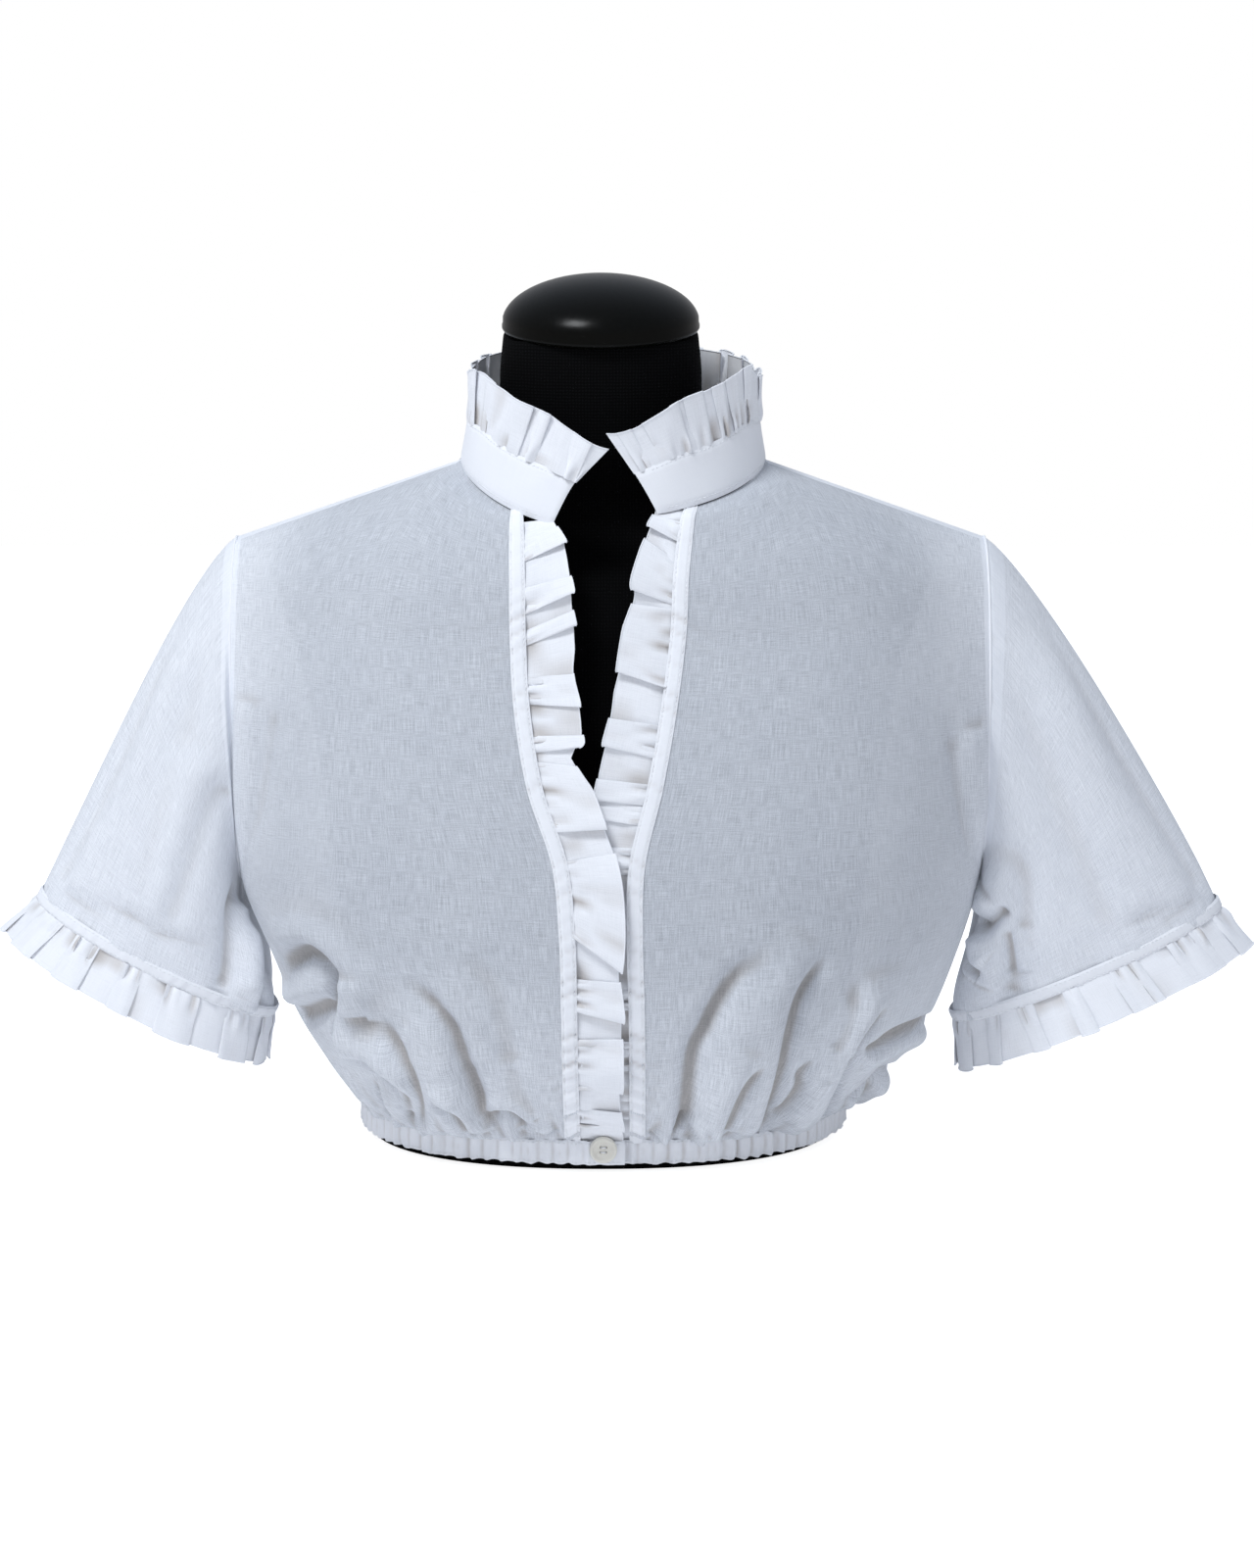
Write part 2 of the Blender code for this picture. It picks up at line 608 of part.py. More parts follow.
def build_cuff(side, surface, frill_surface, collection):
    """The narrow band on the sleeve's end, and the frill below it."""
    angle = np.linspace(0, 2 * math.pi, SLEEVE_AROUND, endpoint=False)
    band = cuff_points(side, angle, (-CUFF_BAND_HEIGHT, 0.0), (CUFF_BAND_STAND, CUFF_BAND_STAND))
    cloth("cuff_band_" + side, band, surface, collection, closed=True, flip=side == "right")
    fine = np.linspace(0, 2 * math.pi, CUFF_FRILL_WAVES * 4, endpoint=False)
    wave = np.cos(CUFF_FRILL_WAVES * fine)
    rows = []
    for share in (0.0, 0.5, 1.0):
        flare = CUFF_FRILL_FLARE * share + CUFF_FRILL_WAVE * share * wave
        rows.append(cuff_oval(side, fine, SEAM + CUFF_FRILL_LENGTH * share + 0 * fine, flare))
    cloth("cuff_frill_" + side, np.stack(rows), frill_surface, collection, closed=True, flip=side == "right")


def collar_row(step, count, wave, wave_height):
    """A row round the collar from the right front end by the back to the left one."""
    ring_right = smooth_through(column(COLLAR, "right_end"), np.array([step]))[0]
    ring_left = smooth_through(column(COLLAR, "left_end"), np.array([step]))[0]
    turn = np.linspace(-(180 - ring_right), 180 - ring_left, count)
    angle = np.radians(turn)
    right = neck_oval("right", np.abs(angle), step)
    left = neck_oval("left", np.abs(angle), step)
    points = np.where((angle < 0)[:, None], right, left)
    outward = points - np.array([COLLAR[0].sway, COLLAR_MIDDLE_Y, 0.0])
    outward[:, 2] = 0.0
    outward /= np.linalg.norm(outward, axis=1, keepdims=True)
    share = np.linspace(0, 1, count)
    ripple = np.cos(2 * math.pi * wave * share) * wave_height
    return points + outward * ripple[:, None]


def build_collar(surface, frill_surface, collection):
    """The stand collar and the frill on its top edge."""
    stand = np.stack([collar_row(step, COLLAR_FRILL_WAVES * 2 + 1, 0, 0.0) for step in (0.0, 0.5, 1.0)])
    cloth("collar_stand", stand, surface, collection)
    rows = []
    count = COLLAR_FRILL_WAVES * 4 + 1
    for share in (0.0, 0.5, 1.0):
        rows.append(collar_row(1.0 + share, count, COLLAR_FRILL_WAVES, COLLAR_FRILL_WAVE * share))
    frill = np.stack(rows)
    frill[..., 2] += 1.5 * SEAM
    frill[:, :COLLAR_LAP_COLUMNS, 1] -= COLLAR_LAP
    cloth("collar_frill", frill, frill_surface, collection)


def hem_row(count):
    """The hem line from the right tab's end round the back to the left end under it, and its outward way."""
    u = np.linspace(0, 1, 80)
    pieces = [
        panel_sections("right", "front", u)[0],
        panel_sections("right", "back", u[::-1])[0],
        panel_sections("left", "back", u)[0],
        panel_sections("left", "front", u[::-1])[0],
    ]
    loop = np.concatenate([pieces[0]] + [piece[1:] for piece in pieces[1:]])
    tab_x = np.linspace(TAB_END_X, loop[0, 0], TAB_POINTS)[:-1]
    tab = np.stack([tab_x, 0 * tab_x + loop[0, 1], 0 * tab_x + loop[0, 2]], -1)
    lap_x = np.linspace(loop[-1, 0], UNDERLAP_END_X, TAB_POINTS)[1:]
    lap = np.stack([lap_x, 0 * lap_x + loop[0, 1], 0 * lap_x + loop[0, 2]], -1)
    path = np.concatenate([tab, loop, lap])
    run = np.concatenate([[0.0], np.cumsum(np.linalg.norm(np.diff(path, axis=0), axis=1))])
    at = np.linspace(0, run[-1], count)
    line = np.stack([np.interp(at, run, path[:, k]) for k in range(3)], -1)
    outward = line * np.array([1.0, HEM_SQUASH, 0.0])
    outward[:, :2] /= np.linalg.norm(outward[:, :2], axis=1, keepdims=True)
    near_start = np.clip(1 - (at - TAB_LENGTH) / TAB_SLOPE, 0, 1)
    return line, outward, at, near_start


def build_hem_casing(surface, collection):
    """The gathered elastic casing. Its right end is a tab that laps over the left end."""
    line, outward, at, near_start = hem_row(CASING_WAVES * 4 + 1)
    flat = np.clip(np.minimum(at, at[-1] - at) / CASING_CALM, 0, 1)
    ripple = CASING_WAVE * np.cos(2 * math.pi * CASING_WAVES * at / at[-1]) * flat
    push = ripple + near_start * TAB_STAND
    top = line + outward * push[:, None]
    bottom = top.copy()
    top[:, 2] = HEM_TOP
    bottom[:, 2] = HEM_BOTTOM
    cloth("hem_casing", np.stack([bottom, top]), surface, collection, flip=True)


def build_button(surface, collection):
    """A small round button with a raised rim, standing on the tab."""
    radius = BUTTON_RADIUS
    thick = BUTTON_THICKNESS
    profile = [
        (0.0, 0.55), (0.45, 0.55), (0.72, 0.70), (0.82, 1.0), (0.93, 1.0),
        (1.0, 0.75), (1.0, 0.30), (0.90, 0.0), (0.0, 0.0),
    ]
    bm = bmesh.new()
    corners = [bm.verts.new((r * radius, 0.0, h * thick)) for r, h in profile]
    for low, high in zip(corners[:-1], corners[1:]):
        bm.edges.new((low, high))
    mesh = bpy.data.meshes.new("button")
    bm.to_mesh(mesh)
    bm.free()
    made = place(mesh, surface, collection)
    turn = made.modifiers.new("turn", "SCREW")
    turn.steps = 20
    turn.render_steps = 20
    turn.use_merge_vertices = True
    turn.merge_threshold = 0.0001
    depth = BODY[0].front_depth + TAB_STAND + 2 * SEAM
    made.location = (BUTTON_X, -depth, BUTTON_HEIGHT)
    made.rotation_euler = (math.pi / 2, 0.0, 0.0)


def slice_ring(part, angle):
    """One level section of the dress form, its angle from +X round by +Y."""
    cosine = np.sign(np.cos(angle)) * np.abs(np.cos(angle)) ** FORM_SQUARENESS
    sine = np.sign(np.sin(angle)) * np.abs(np.sin(angle)) ** FORM_SQUARENESS
    depth = np.where(sine > 0, part.back, part.front)
    return np.stack([part.half_width * cosine, part.middle + depth * sine, part.height + 0 * angle], -1)


def build_form(surface, cap_surface, collection):
    """The dress form's torso and neck in one smooth body, and the cap on the neck."""
    angle = np.linspace(0, 2 * math.pi, FORM_AROUND, endpoint=False)
    rings = [slice_ring(part, angle) for part in FORM]
    tilt = math.tan(math.radians(CAP_TILT))
    top_slice = Slice(NECK_TOP, NECK_TOP_HALF_WIDTH, 0.0475, 0.0475, CAP_Y)
    top = slice_ring(top_slice, angle)
    top[:, 2] += (top[:, 1] - CAP_Y) * tilt
    rings.append(top)
    points = np.stack(rings)
    mesh = grid_mesh("form_torso", points, True, False)
    bm = bmesh.new()
    bm.from_mesh(mesh)
    bmesh.ops.holes_fill(bm, edges=[edge for edge in bm.edges if edge.is_boundary], sides=0)
    bmesh.ops.recalc_face_normals(bm, faces=bm.faces)
    bm.to_mesh(mesh)
    bm.free()
    mesh.shade_smooth()
    mesh.set_sharp_from_angle(angle=math.radians(50))
    place(mesh, surface, collection)
    build_cap(cap_surface, collection)


def build_cap(surface, collection):
    """The smooth domed cap that closes the neck, turned from its profile."""
    bm = bmesh.new()
    corners = []
    for step in range(9):
        angle = math.radians(90 - 10 * step)
        corners.append((CAP_RADIUS * math.cos(angle), 0.004 + (CAP_HEIGHT - 0.004) * math.sin(angle)))
    corners += [(CAP_RADIUS * 1.0, 0.003), (CAP_RADIUS * 0.975, 0.0008), (CAP_RADIUS * 0.94, 0.0), (0.0, 0.0)]
    corners[0] = (0.0, CAP_HEIGHT)
    verts = [bm.verts.new((r, 0.0, h)) for r, h in corners]
    for low, high in zip(verts[:-1], verts[1:]):
        bm.edges.new((low, high))
    mesh = bpy.data.meshes.new("neck_cap")
    bm.to_mesh(mesh)
    bm.free()
    made = place(mesh, surface, collection)
    turn = made.modifiers.new("turn", "SCREW")
    turn.steps = 28
    turn.render_steps = 28
    turn.use_merge_vertices = True
    turn.merge_threshold = 0.0001
    made.location = (0.0, CAP_Y, NECK_TOP + SEAM)
    made.rotation_euler = (math.radians(CAP_TILT), 0.0, 0.0)


def main():
    for old in list(bpy.data.objects):
        bpy.data.objects.remove(old)
    collection = bpy.data.collections.new("dirndl_blouse_on_dress_form")
    bpy.context.scene.collection.children.link(collection)
    batiste = material("batiste", (0.62, 0.66, 0.72), 0.85)
    doubled = material("doubled_batiste", (0.80, 0.83, 0.88), 0.80)
    jersey = material("jersey", (0.006, 0.006, 0.006), 0.90)
    satin = material("satin_plastic", (0.010, 0.010, 0.008), 0.35)
    shell = material("button_plastic", (0.80, 0.77, 0.72), 0.30)
    build_form(jersey, satin, collection)
    for side in ("right", "left"):
        build_front(side, batiste, collection)
        build_edge_band(side, doubled, collection)
        build_sleeve(side, batiste, collection)
        build_cuff(side, doubled, doubled, collection)
    build_placket_frill("right", RIGHT_PLEATS, doubled, collection)
    build_placket_frill("left", LEFT_PLEATS, doubled, collection)
    build_back(batiste, collection)
    build_collar(doubled, doubled, collection)
    build_hem_casing(doubled, collection)
    build_button(shell, collection)


main()
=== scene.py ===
# %% [markdown]
# # A dirndl blouse on its dress form
# The blouse is sheer white cotton batiste over a black form. Its looks come from three things: thin cloth
# that lets some of the black through, many small folds with one soft light on them, and white edges where
# the cloth lies double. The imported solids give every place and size, and each cloth solid is replaced here
# by a thin surface on the same form, worked out with numpy.

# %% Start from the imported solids
import math
from collections import namedtuple

import bmesh
import bpy
import numpy as np
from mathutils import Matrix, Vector


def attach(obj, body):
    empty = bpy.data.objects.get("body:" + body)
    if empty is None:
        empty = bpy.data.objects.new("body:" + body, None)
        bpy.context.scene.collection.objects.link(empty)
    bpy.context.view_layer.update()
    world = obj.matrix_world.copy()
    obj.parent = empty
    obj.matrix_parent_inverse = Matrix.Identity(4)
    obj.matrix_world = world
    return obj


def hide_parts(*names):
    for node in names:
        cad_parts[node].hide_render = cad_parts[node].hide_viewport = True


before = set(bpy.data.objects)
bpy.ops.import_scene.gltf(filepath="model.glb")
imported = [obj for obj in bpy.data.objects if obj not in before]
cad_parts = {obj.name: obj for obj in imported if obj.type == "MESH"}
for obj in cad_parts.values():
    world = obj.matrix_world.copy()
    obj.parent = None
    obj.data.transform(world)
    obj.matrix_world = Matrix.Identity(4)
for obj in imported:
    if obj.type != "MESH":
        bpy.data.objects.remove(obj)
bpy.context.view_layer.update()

# %% [markdown]
# ## Camera
# The photograph looks slightly down on the blouse from straight ahead. The distance and the lens are worked
# out from how fast the ovals of cuffs and collar close: 1.9 m away and ten degrees up.

# %% Camera
AIM = np.array([0.0139, 0.0, 0.1905])
CAMERA_DISTANCE = 1.9
CAMERA_RISE = math.radians(10.0)
LENS = 79.9
SENSOR = 36.0


def place_object(name, data):
    """An object in the scene, for a mesh, a lamp or the camera."""
    made = bpy.data.objects.new(name, data)
    bpy.context.scene.collection.objects.link(made)
    return made


def make_camera():
    """A camera on an arc in the middle plane, looking at the aim."""
    data = bpy.data.cameras.new("camera")
    data.lens = LENS
    data.sensor_width = SENSOR
    camera = place_object("camera", data)
    camera.location = AIM + CAMERA_DISTANCE * np.array([0.0, -math.cos(CAMERA_RISE), math.sin(CAMERA_RISE)])
    camera.rotation_euler = (math.pi / 2 - CAMERA_RISE, 0.0, 0.0)
    bpy.context.scene.camera = camera
    print("camera at", tuple(round(place, 3) for place in camera.location))


make_camera()

# %% [markdown]
# ## Light
# The photograph is a cut-out, lit by a cool sky from above and a warmer bounce from below. A world that
# blends from warm to cool with the direction's height does that without shadows, and one large soft lamp
# from the upper left draws the folds. Rays that go straight to the camera see plain white.

# %% Light
SKY_COLOUR = (0.80, 0.90, 1.06, 1.0)
BOUNCE_COLOUR = (1.18, 1.07, 0.95, 1.0)
WHITE = (1.0, 1.0, 1.0, 1.0)
BOUNCE_BELOW = -0.7
SKY_ABOVE = 0.8
SKY_STRENGTH = 0.48
KEY_PLACE = (-0.8, -1.0, 2.2)
KEY_SIZE = 0.6
KEY_POWER = 31.0
KEY_COLOUR = (0.94, 0.97, 1.0)


def make_world():
    """A dome whose colour goes from warm below to cool above."""
    world = bpy.data.worlds.new("studio")
    bpy.context.scene.world = world
    world.use_nodes = True
    nodes, links = world.node_tree.nodes, world.node_tree.links
    nodes.clear()
    place = nodes.new("ShaderNodeTexCoord")
    split = nodes.new("ShaderNodeSeparateXYZ")
    links.new(place.outputs["Generated"], split.inputs[0])
    ramp = nodes.new("ShaderNodeMapRange")
    ramp.inputs["From Min"].default_value = BOUNCE_BELOW
    ramp.inputs["From Max"].default_value = SKY_ABOVE
    links.new(split.outputs["Z"], ramp.inputs["Value"])
    blend = nodes.new("ShaderNodeMix")
    blend.data_type = "RGBA"
    blend.inputs["A"].default_value = BOUNCE_COLOUR
    blend.inputs["B"].default_value = SKY_COLOUR
    links.new(ramp.outputs["Result"], blend.inputs["Factor"])
    dome = nodes.new("ShaderNodeBackground")
    dome.inputs["Strength"].default_value = SKY_STRENGTH
    links.new(blend.outputs["Result"], dome.inputs["Color"])
    white = nodes.new("ShaderNodeBackground")
    white.inputs["Color"].default_value = WHITE
    white.inputs["Strength"].default_value = 1.0
    seen = nodes.new("ShaderNodeLightPath")
    either = nodes.new("ShaderNodeMixShader")
    links.new(seen.outputs["Is Camera Ray"], either.inputs["Fac"])
    links.new(dome.outputs[0], either.inputs[1])
    links.new(white.outputs[0], either.inputs[2])
    out = nodes.new("ShaderNodeOutputWorld")
    links.new(either.outputs[0], out.inputs["Surface"])


def make_lamp(name, place, size, power, colour):
    """A square soft lamp that looks at the aim."""
    data = bpy.data.lights.new(name, "AREA")
    data.shape = "SQUARE"
    data.size = size
    data.energy = power
    data.color = colour
    lamp = place_object(name, data)
    lamp.location = place
    lamp.rotation_euler = (Vector(AIM) - lamp.location).to_track_quat("-Z", "Y").to_euler()
    print("lamp", name, "power", power, "size", size)


make_world()
make_lamp("key", KEY_PLACE, KEY_SIZE, KEY_POWER, KEY_COLOUR)
bpy.context.scene.view_settings.view_transform = "Standard"

# %% [markdown]
# ## Measures
# The same measures as the solids, because the frame holds only their triangles: sections of the body, the
# rings of the collar, the lines of the front edges and the ovals of the cuffs. Metres, with the front
# towards -Y and the wearer's left towards +X.

# %% Measures of the body
Section = namedtuple(
    "Section", "front_height front_depth back_height back_depth side_height side_width arm turn sway"
)
BODY = [
    Section(0.0173, 0.0995, 0.0173, 0.0905, 0.0173, 0.1325, None, 90, 0.001),
    Section(0.0245, 0.1075, 0.0265, 0.0975, 0.0285, 0.1440, None, 90, 0.003),
    Section(0.0375, 0.1170, 0.0445, 0.1025, 0.0435, 0.1565, None, 90, 0.005),
    Section(0.0615, 0.1265, 0.0715, 0.1050, 0.0695, 0.1745, None, 90, 0.007),
    Section(0.0965, 0.1330, 0.1085, 0.1045, 0.1035, 0.1885, None, 90, 0.007),
    Section(0.1345, 0.1345, 0.1445, 0.1020, 0.1385, 0.1990, 180, 88, 0.006),
    Section(0.1715, 0.1315, 0.1795, 0.1000, None, None, 135, 80, 0.006),
    Section(0.2095, 0.1245, 0.2165, 0.0980, None, None, 108, 70, 0.006),
    Section(0.2495, 0.1140, 0.2565, 0.0930, None, None, 80, 60, 0.006),
    Section(0.2865, 0.1020, 0.2995, 0.0810, None, None, 55, 50, 0.006),
]
STRAIGHT_SHARE = 0.62
SIDE_SHARE = 0.45
SIDE_DEPTH_SHARE = 0.62
YOKE_STEPS = (0.36, 0.70, 1.0)
YOKE_ROUND = 1.25
NECK_SHARE = 0.36
TOP = len(BODY) - 1 + len(YOKE_STEPS)
BODY_MIDDLE = 0.170
ROUGH_RISE = 0.3
ARMHOLE_X = 0.2015
ARMHOLE_SWAY = 0.005
ARMHOLE_CENTRE = 0.2325
ARMHOLE_HALF_HEIGHT = 0.0935
ARMHOLE_HALF_DEPTH = 0.047
SIDES = ("right", "left")
print("sections", len(BODY), "and rows up to the shoulder seam", TOP)

# %% [markdown]
# ## Measures of the collar, edges and cuffs
# The collar is three ovals: at the neckline, at the top of the stand and at the frill's free edge. The
# edges say where each front ends at each height. A cuff is the two ends of its leaning oval and half its
# depth.

# %% Measures of the collar, edges and cuffs
Ring = namedtuple("Ring", "half_width half_depth side_rise front_rise right_end left_end sway")
COLLAR = [
    Ring(0.0800, 0.0680, 0.0000, 0.0000, 22.5, 16.5, 0.0065),
    Ring(0.0765, 0.0660, 0.0220, 0.0180, 14.5, 8.0, 0.0068),
    Ring(0.0750, 0.0660, 0.0465, 0.0385, 2.0, -3.0, 0.0072),
]
COLLAR_MIDDLE_Y = -0.012
NECK_SIDE_HEIGHT = 0.3690
NECK_EDGE_HEIGHT = 0.3460
NECK_FRONT_DROP = {"right": 0.022, "left": 0.018}
NECK_BACK_RISE = 0.011
Edge = namedtuple("Edge", "height right left")
FRONT_EDGES = [
    Edge(0.0165, -0.0105, 0.0152), Edge(0.0795, -0.0115, 0.0149), Edge(0.1205, -0.0120, 0.0142),
    Edge(0.1515, -0.0135, 0.0133), Edge(0.1695, -0.0158, 0.0146), Edge(0.1885, -0.0215, 0.0180),
    Edge(0.2065, -0.0280, 0.0232), Edge(0.2265, -0.0328, 0.0277), Edge(0.2495, -0.0357, 0.0312),
    Edge(0.2775, -0.0375, 0.0350), Edge(0.3115, -0.0390, 0.0390), Edge(0.3525, -0.0402, 0.0440),
]
Cuff = namedtuple("Cuff", "outer_x outer_z inner_x inner_z half_depth")
CUFFS = {
    "right": Cuff(-0.3090, 0.1277, -0.1825, 0.0615, 0.043),
    "left": Cuff(0.3395, 0.1222, 0.1955, 0.0585, 0.038),
}
SLEEVE_HEAD_RUN = (0.080, 0.045)
UNDERARM_RUN = (0.030, 0.060)
CUFF_PULL = 0.135
UNDERARM_CUFF_PULL = 0.065
CUFF_STEP = 0.001
HEM_BOTTOM = 0.0050
HEM_TOP = 0.0170
print("collar rings", len(COLLAR), "front edge rows", len(FRONT_EDGES), "cuffs", len(CUFFS))

# %% [markdown]
# ## Curves
# A table of a few measured rows becomes a smooth form with Catmull-Rom curves, which pass through every
# row. Two helpers read them: one at fractional row numbers, one against a column such as the height. A
# third gives the uneven waver of gathered cloth: random values at even steps, joined by the same smooth
# curve.

# %% Curves
def column(rows, name):
    """One named column of a table, as an array."""
    return np.array([getattr(row, name) for row in rows], float)


def smooth_through(points, at):
    """Catmull-Rom: each stretch is a cubic that leaves a point along the line between its two neighbours."""
    points = np.asarray(points, float)
    last = len(points) - 1
    padded = np.concatenate([2 * points[:1] - points[1:2], points, 2 * points[-1:] - points[-2:-1]])
    whole = np.clip(np.floor(at).astype(int), 0, last - 1)
    part = at - whole
    part = part.reshape(part.shape + (1,) * (points.ndim - 1))
    before, here, after, beyond = (padded[whole + step] for step in range(4))
    return 0.5 * (
        2 * here + (after - before) * part + (2 * before - 5 * here + 4 * after - beyond) * part ** 2
        + (3 * here - before - 3 * after + beyond) * part ** 3
    )


def table_curve(rows, key, name, at):
    """A smooth reading of one column against another, increasing, column."""
    keys = column(rows, key)
    return smooth_through(column(rows, name), np.interp(at, keys, np.arange(len(keys))))


def waver(at, spacing, seed):
    """Uneven waves, from -1 to 1: random values every spacing, joined smoothly."""
    draw = np.random.default_rng(seed)
    count = int(np.max(at) / spacing) + 4
    values = draw.uniform(-1, 1, count) * 0.5 + 0.5 * (-1.0) ** np.arange(count)
    return smooth_through(values, np.clip(np.asarray(at) / spacing + 1, 0, count - 1.001))


def run_length(line):
    """How far along a line of points each point lies."""
    return np.concatenate([[0.0], np.cumsum(np.linalg.norm(np.diff(line, axis=0), axis=1))])


def unit(vectors):
    """Vectors scaled to a length of one."""
    return vectors / (np.linalg.norm(vectors, axis=-1, keepdims=True) + 1e-12)


def side_sign(side):
    """-1 on the wearer's right, which is -X, and 1 on the left."""
    return -1.0 if side == "right" else 1.0


def edge_x(side, height):
    """Where a front ends, at a height."""
    return table_curve(FRONT_EDGES, "height", side, np.asarray(height, float))


# %% [markdown]
# ## The form of the body
# A half panel is a family of cubic curves, one at each height, from the front edge or the back's centre
# round to the side seam. Above the underarm each curve ends on the oval of the armhole. The last three rows
# blend the highest section into the neckline and the shoulder seam, so that the shoulder rounds over
# instead of turning a corner.

# %% The form of the body
def neck_oval(side, angle, step):
    """The collar's oval at an angle from the back, where step counts up the rings of the collar."""
    step = np.broadcast_to(np.asarray(step, float), np.shape(angle))
    half_width, half_depth, side_rise, front_rise, sway = (
        smooth_through(column(COLLAR, name), step)
        for name in ("half_width", "half_depth", "side_rise", "front_rise", "sway")
    )
    toward_front = (1 - np.cos(angle)) / 2
    drop = NECK_FRONT_DROP[side]
    height = NECK_SIDE_HEIGHT + drop * np.cos(angle) - (drop - NECK_BACK_RISE) * np.cos(angle) ** 2
    height = height + side_rise + (front_rise - side_rise) * toward_front ** 2
    across = sway + side_sign(side) * half_width * np.sin(angle)
    return np.stack([across, COLLAR_MIDDLE_Y + half_depth * np.cos(angle), height], -1)


def armhole(side, angle):
    """The armhole's oval, its angle from the top round by the front."""
    across = ARMHOLE_SWAY + side_sign(side) * ARMHOLE_X + 0 * angle
    height = ARMHOLE_CENTRE + ARMHOLE_HALF_HEIGHT * np.cos(angle)
    return np.stack([across, -ARMHOLE_HALF_DEPTH * np.sin(angle), height], -1)


def section_curve(side, face, section, u):
    """A cubic that starts square to the front edge or the back centre and turns back at the side."""
    sign = side_sign(side)
    forward = -1.0 if face == "front" else 1.0
    if face == "front":
        edge = float(edge_x(side, section.front_height))
        start = np.array([edge, -section.front_depth, section.front_height])
    else:
        start = np.array([section.sway, section.back_depth, section.back_height])
    if section.arm is None:
        end = np.array([section.sway + sign * section.side_width, 0.0, section.side_height])
    else:
        end = armhole(side, np.array(math.radians(section.arm)))
        end[1] = abs(end[1]) * forward
    reach = abs(end[0] - start[0])
    depth = abs(start[1] - end[1])
    turn = math.radians(section.turn)
    middle_height = (start[2] + end[2]) / 2
    first = start + np.array([sign * reach * STRAIGHT_SHARE, 0.0, 0.0])
    inward = -sign * math.cos(turn) * reach * SIDE_SHARE
    second = end + np.array([inward, forward * math.sin(turn) * depth * SIDE_DEPTH_SHARE, 0.0])
    first[2] = (first[2] + middle_height) / 2
    second[2] = (second[2] + middle_height) / 2
    share = np.asarray(u, float)[..., None]
    return (
        (1 - share) ** 3 * start + 3 * share * (1 - share) ** 2 * first
        + 3 * share ** 2 * (1 - share) * second + share ** 3 * end
    )


def top_curve(side, face, u):
    """The neckline, and then the shoulder seam out to the armhole."""
    edge = abs(float(edge_x(side, NECK_EDGE_HEIGHT)) - COLLAR[0].sway) / COLLAR[0].half_width
    start_angle = math.pi - math.asin(edge) if face == "front" else 0.0
    along_neck = np.clip(u / NECK_SHARE, 0, 1)
    along_shoulder = np.clip((u - NECK_SHARE) / (1 - NECK_SHARE), 0, 1)[..., None]
    neck = neck_oval(side, start_angle + (math.pi / 2 - start_angle) * along_neck, 0)
    return neck + along_shoulder * (armhole(side, np.array(0.0)) - neck)


def panel_form(side, face, u, v):
    """A grid on half a panel, v rows by u columns, and its outward normals, without folds."""
    forward = -1.0 if face == "front" else 1.0
    rows = [section_curve(side, face, section, u) for section in BODY]
    base = rows[-1]
    top = top_curve(side, face, u)
    for step in YOKE_STEPS:
        rise = math.sin(step * math.pi / 2) ** YOKE_ROUND
        back = 1 - math.cos(step * math.pi / 2) ** YOKE_ROUND
        row = base + (top - base) * np.array([back, back, rise])
        end = armhole(side, np.array(math.radians(BODY[-1].arm) * (1 - step)))
        end[1] = abs(end[1]) * forward
        rows.append(row + (u ** 4)[..., None] * (end - row[-1]))
    points = smooth_through(np.stack(rows), v)
    rough = points - np.array([0.0, 0.0, BODY_MIDDLE])
    rough[..., 2] *= ROUGH_RISE
    return points, grid_normals(points, rough)


def grid_normals(points, rough):
    """Normals from the cross product of the two directions of a grid, turned to agree with a rough way out."""
    normal = unit(np.cross(np.gradient(points, axis=1), np.gradient(points, axis=0)))
    agree = np.sign(np.sum(normal * rough))
    return normal * agree


# %% [markdown]
# ## Creases
# Real creases are drawn one by one: each is a short curve on the cloth with a narrow trough, which holds the
# shadow, and a softer ridge on one side of it. For each point of the grid the nearest point of the curve is
# found, and the distance to it gives the height. A bump texture could not catch light from the side in
# every view, so the surface itself is moved.

# %% Creases
Crease = namedtuple("Crease", "line depth lift near reach hand head")
CREASE_STEPS = 90
TROUGH_FORCE = 2.0
RIDGE_FORCE = 1.45
TAIL_SHARE = 0.12
TAIL_END = 0.35


def on_grid(grid, rows, columns):
    """Reads a grid of vectors between its points, weighted by how near each of the four is."""
    top = np.clip(np.floor(rows).astype(int), 0, grid.shape[0] - 2)
    left = np.clip(np.floor(columns).astype(int), 0, grid.shape[1] - 2)
    down, right = (rows - top)[:, None], (columns - left)[:, None]
    upper = grid[top, left] * (1 - right) + grid[top, left + 1] * right
    lower = grid[top + 1, left] * (1 - right) + grid[top + 1, left + 1] * right
    return upper * (1 - down) + lower * down


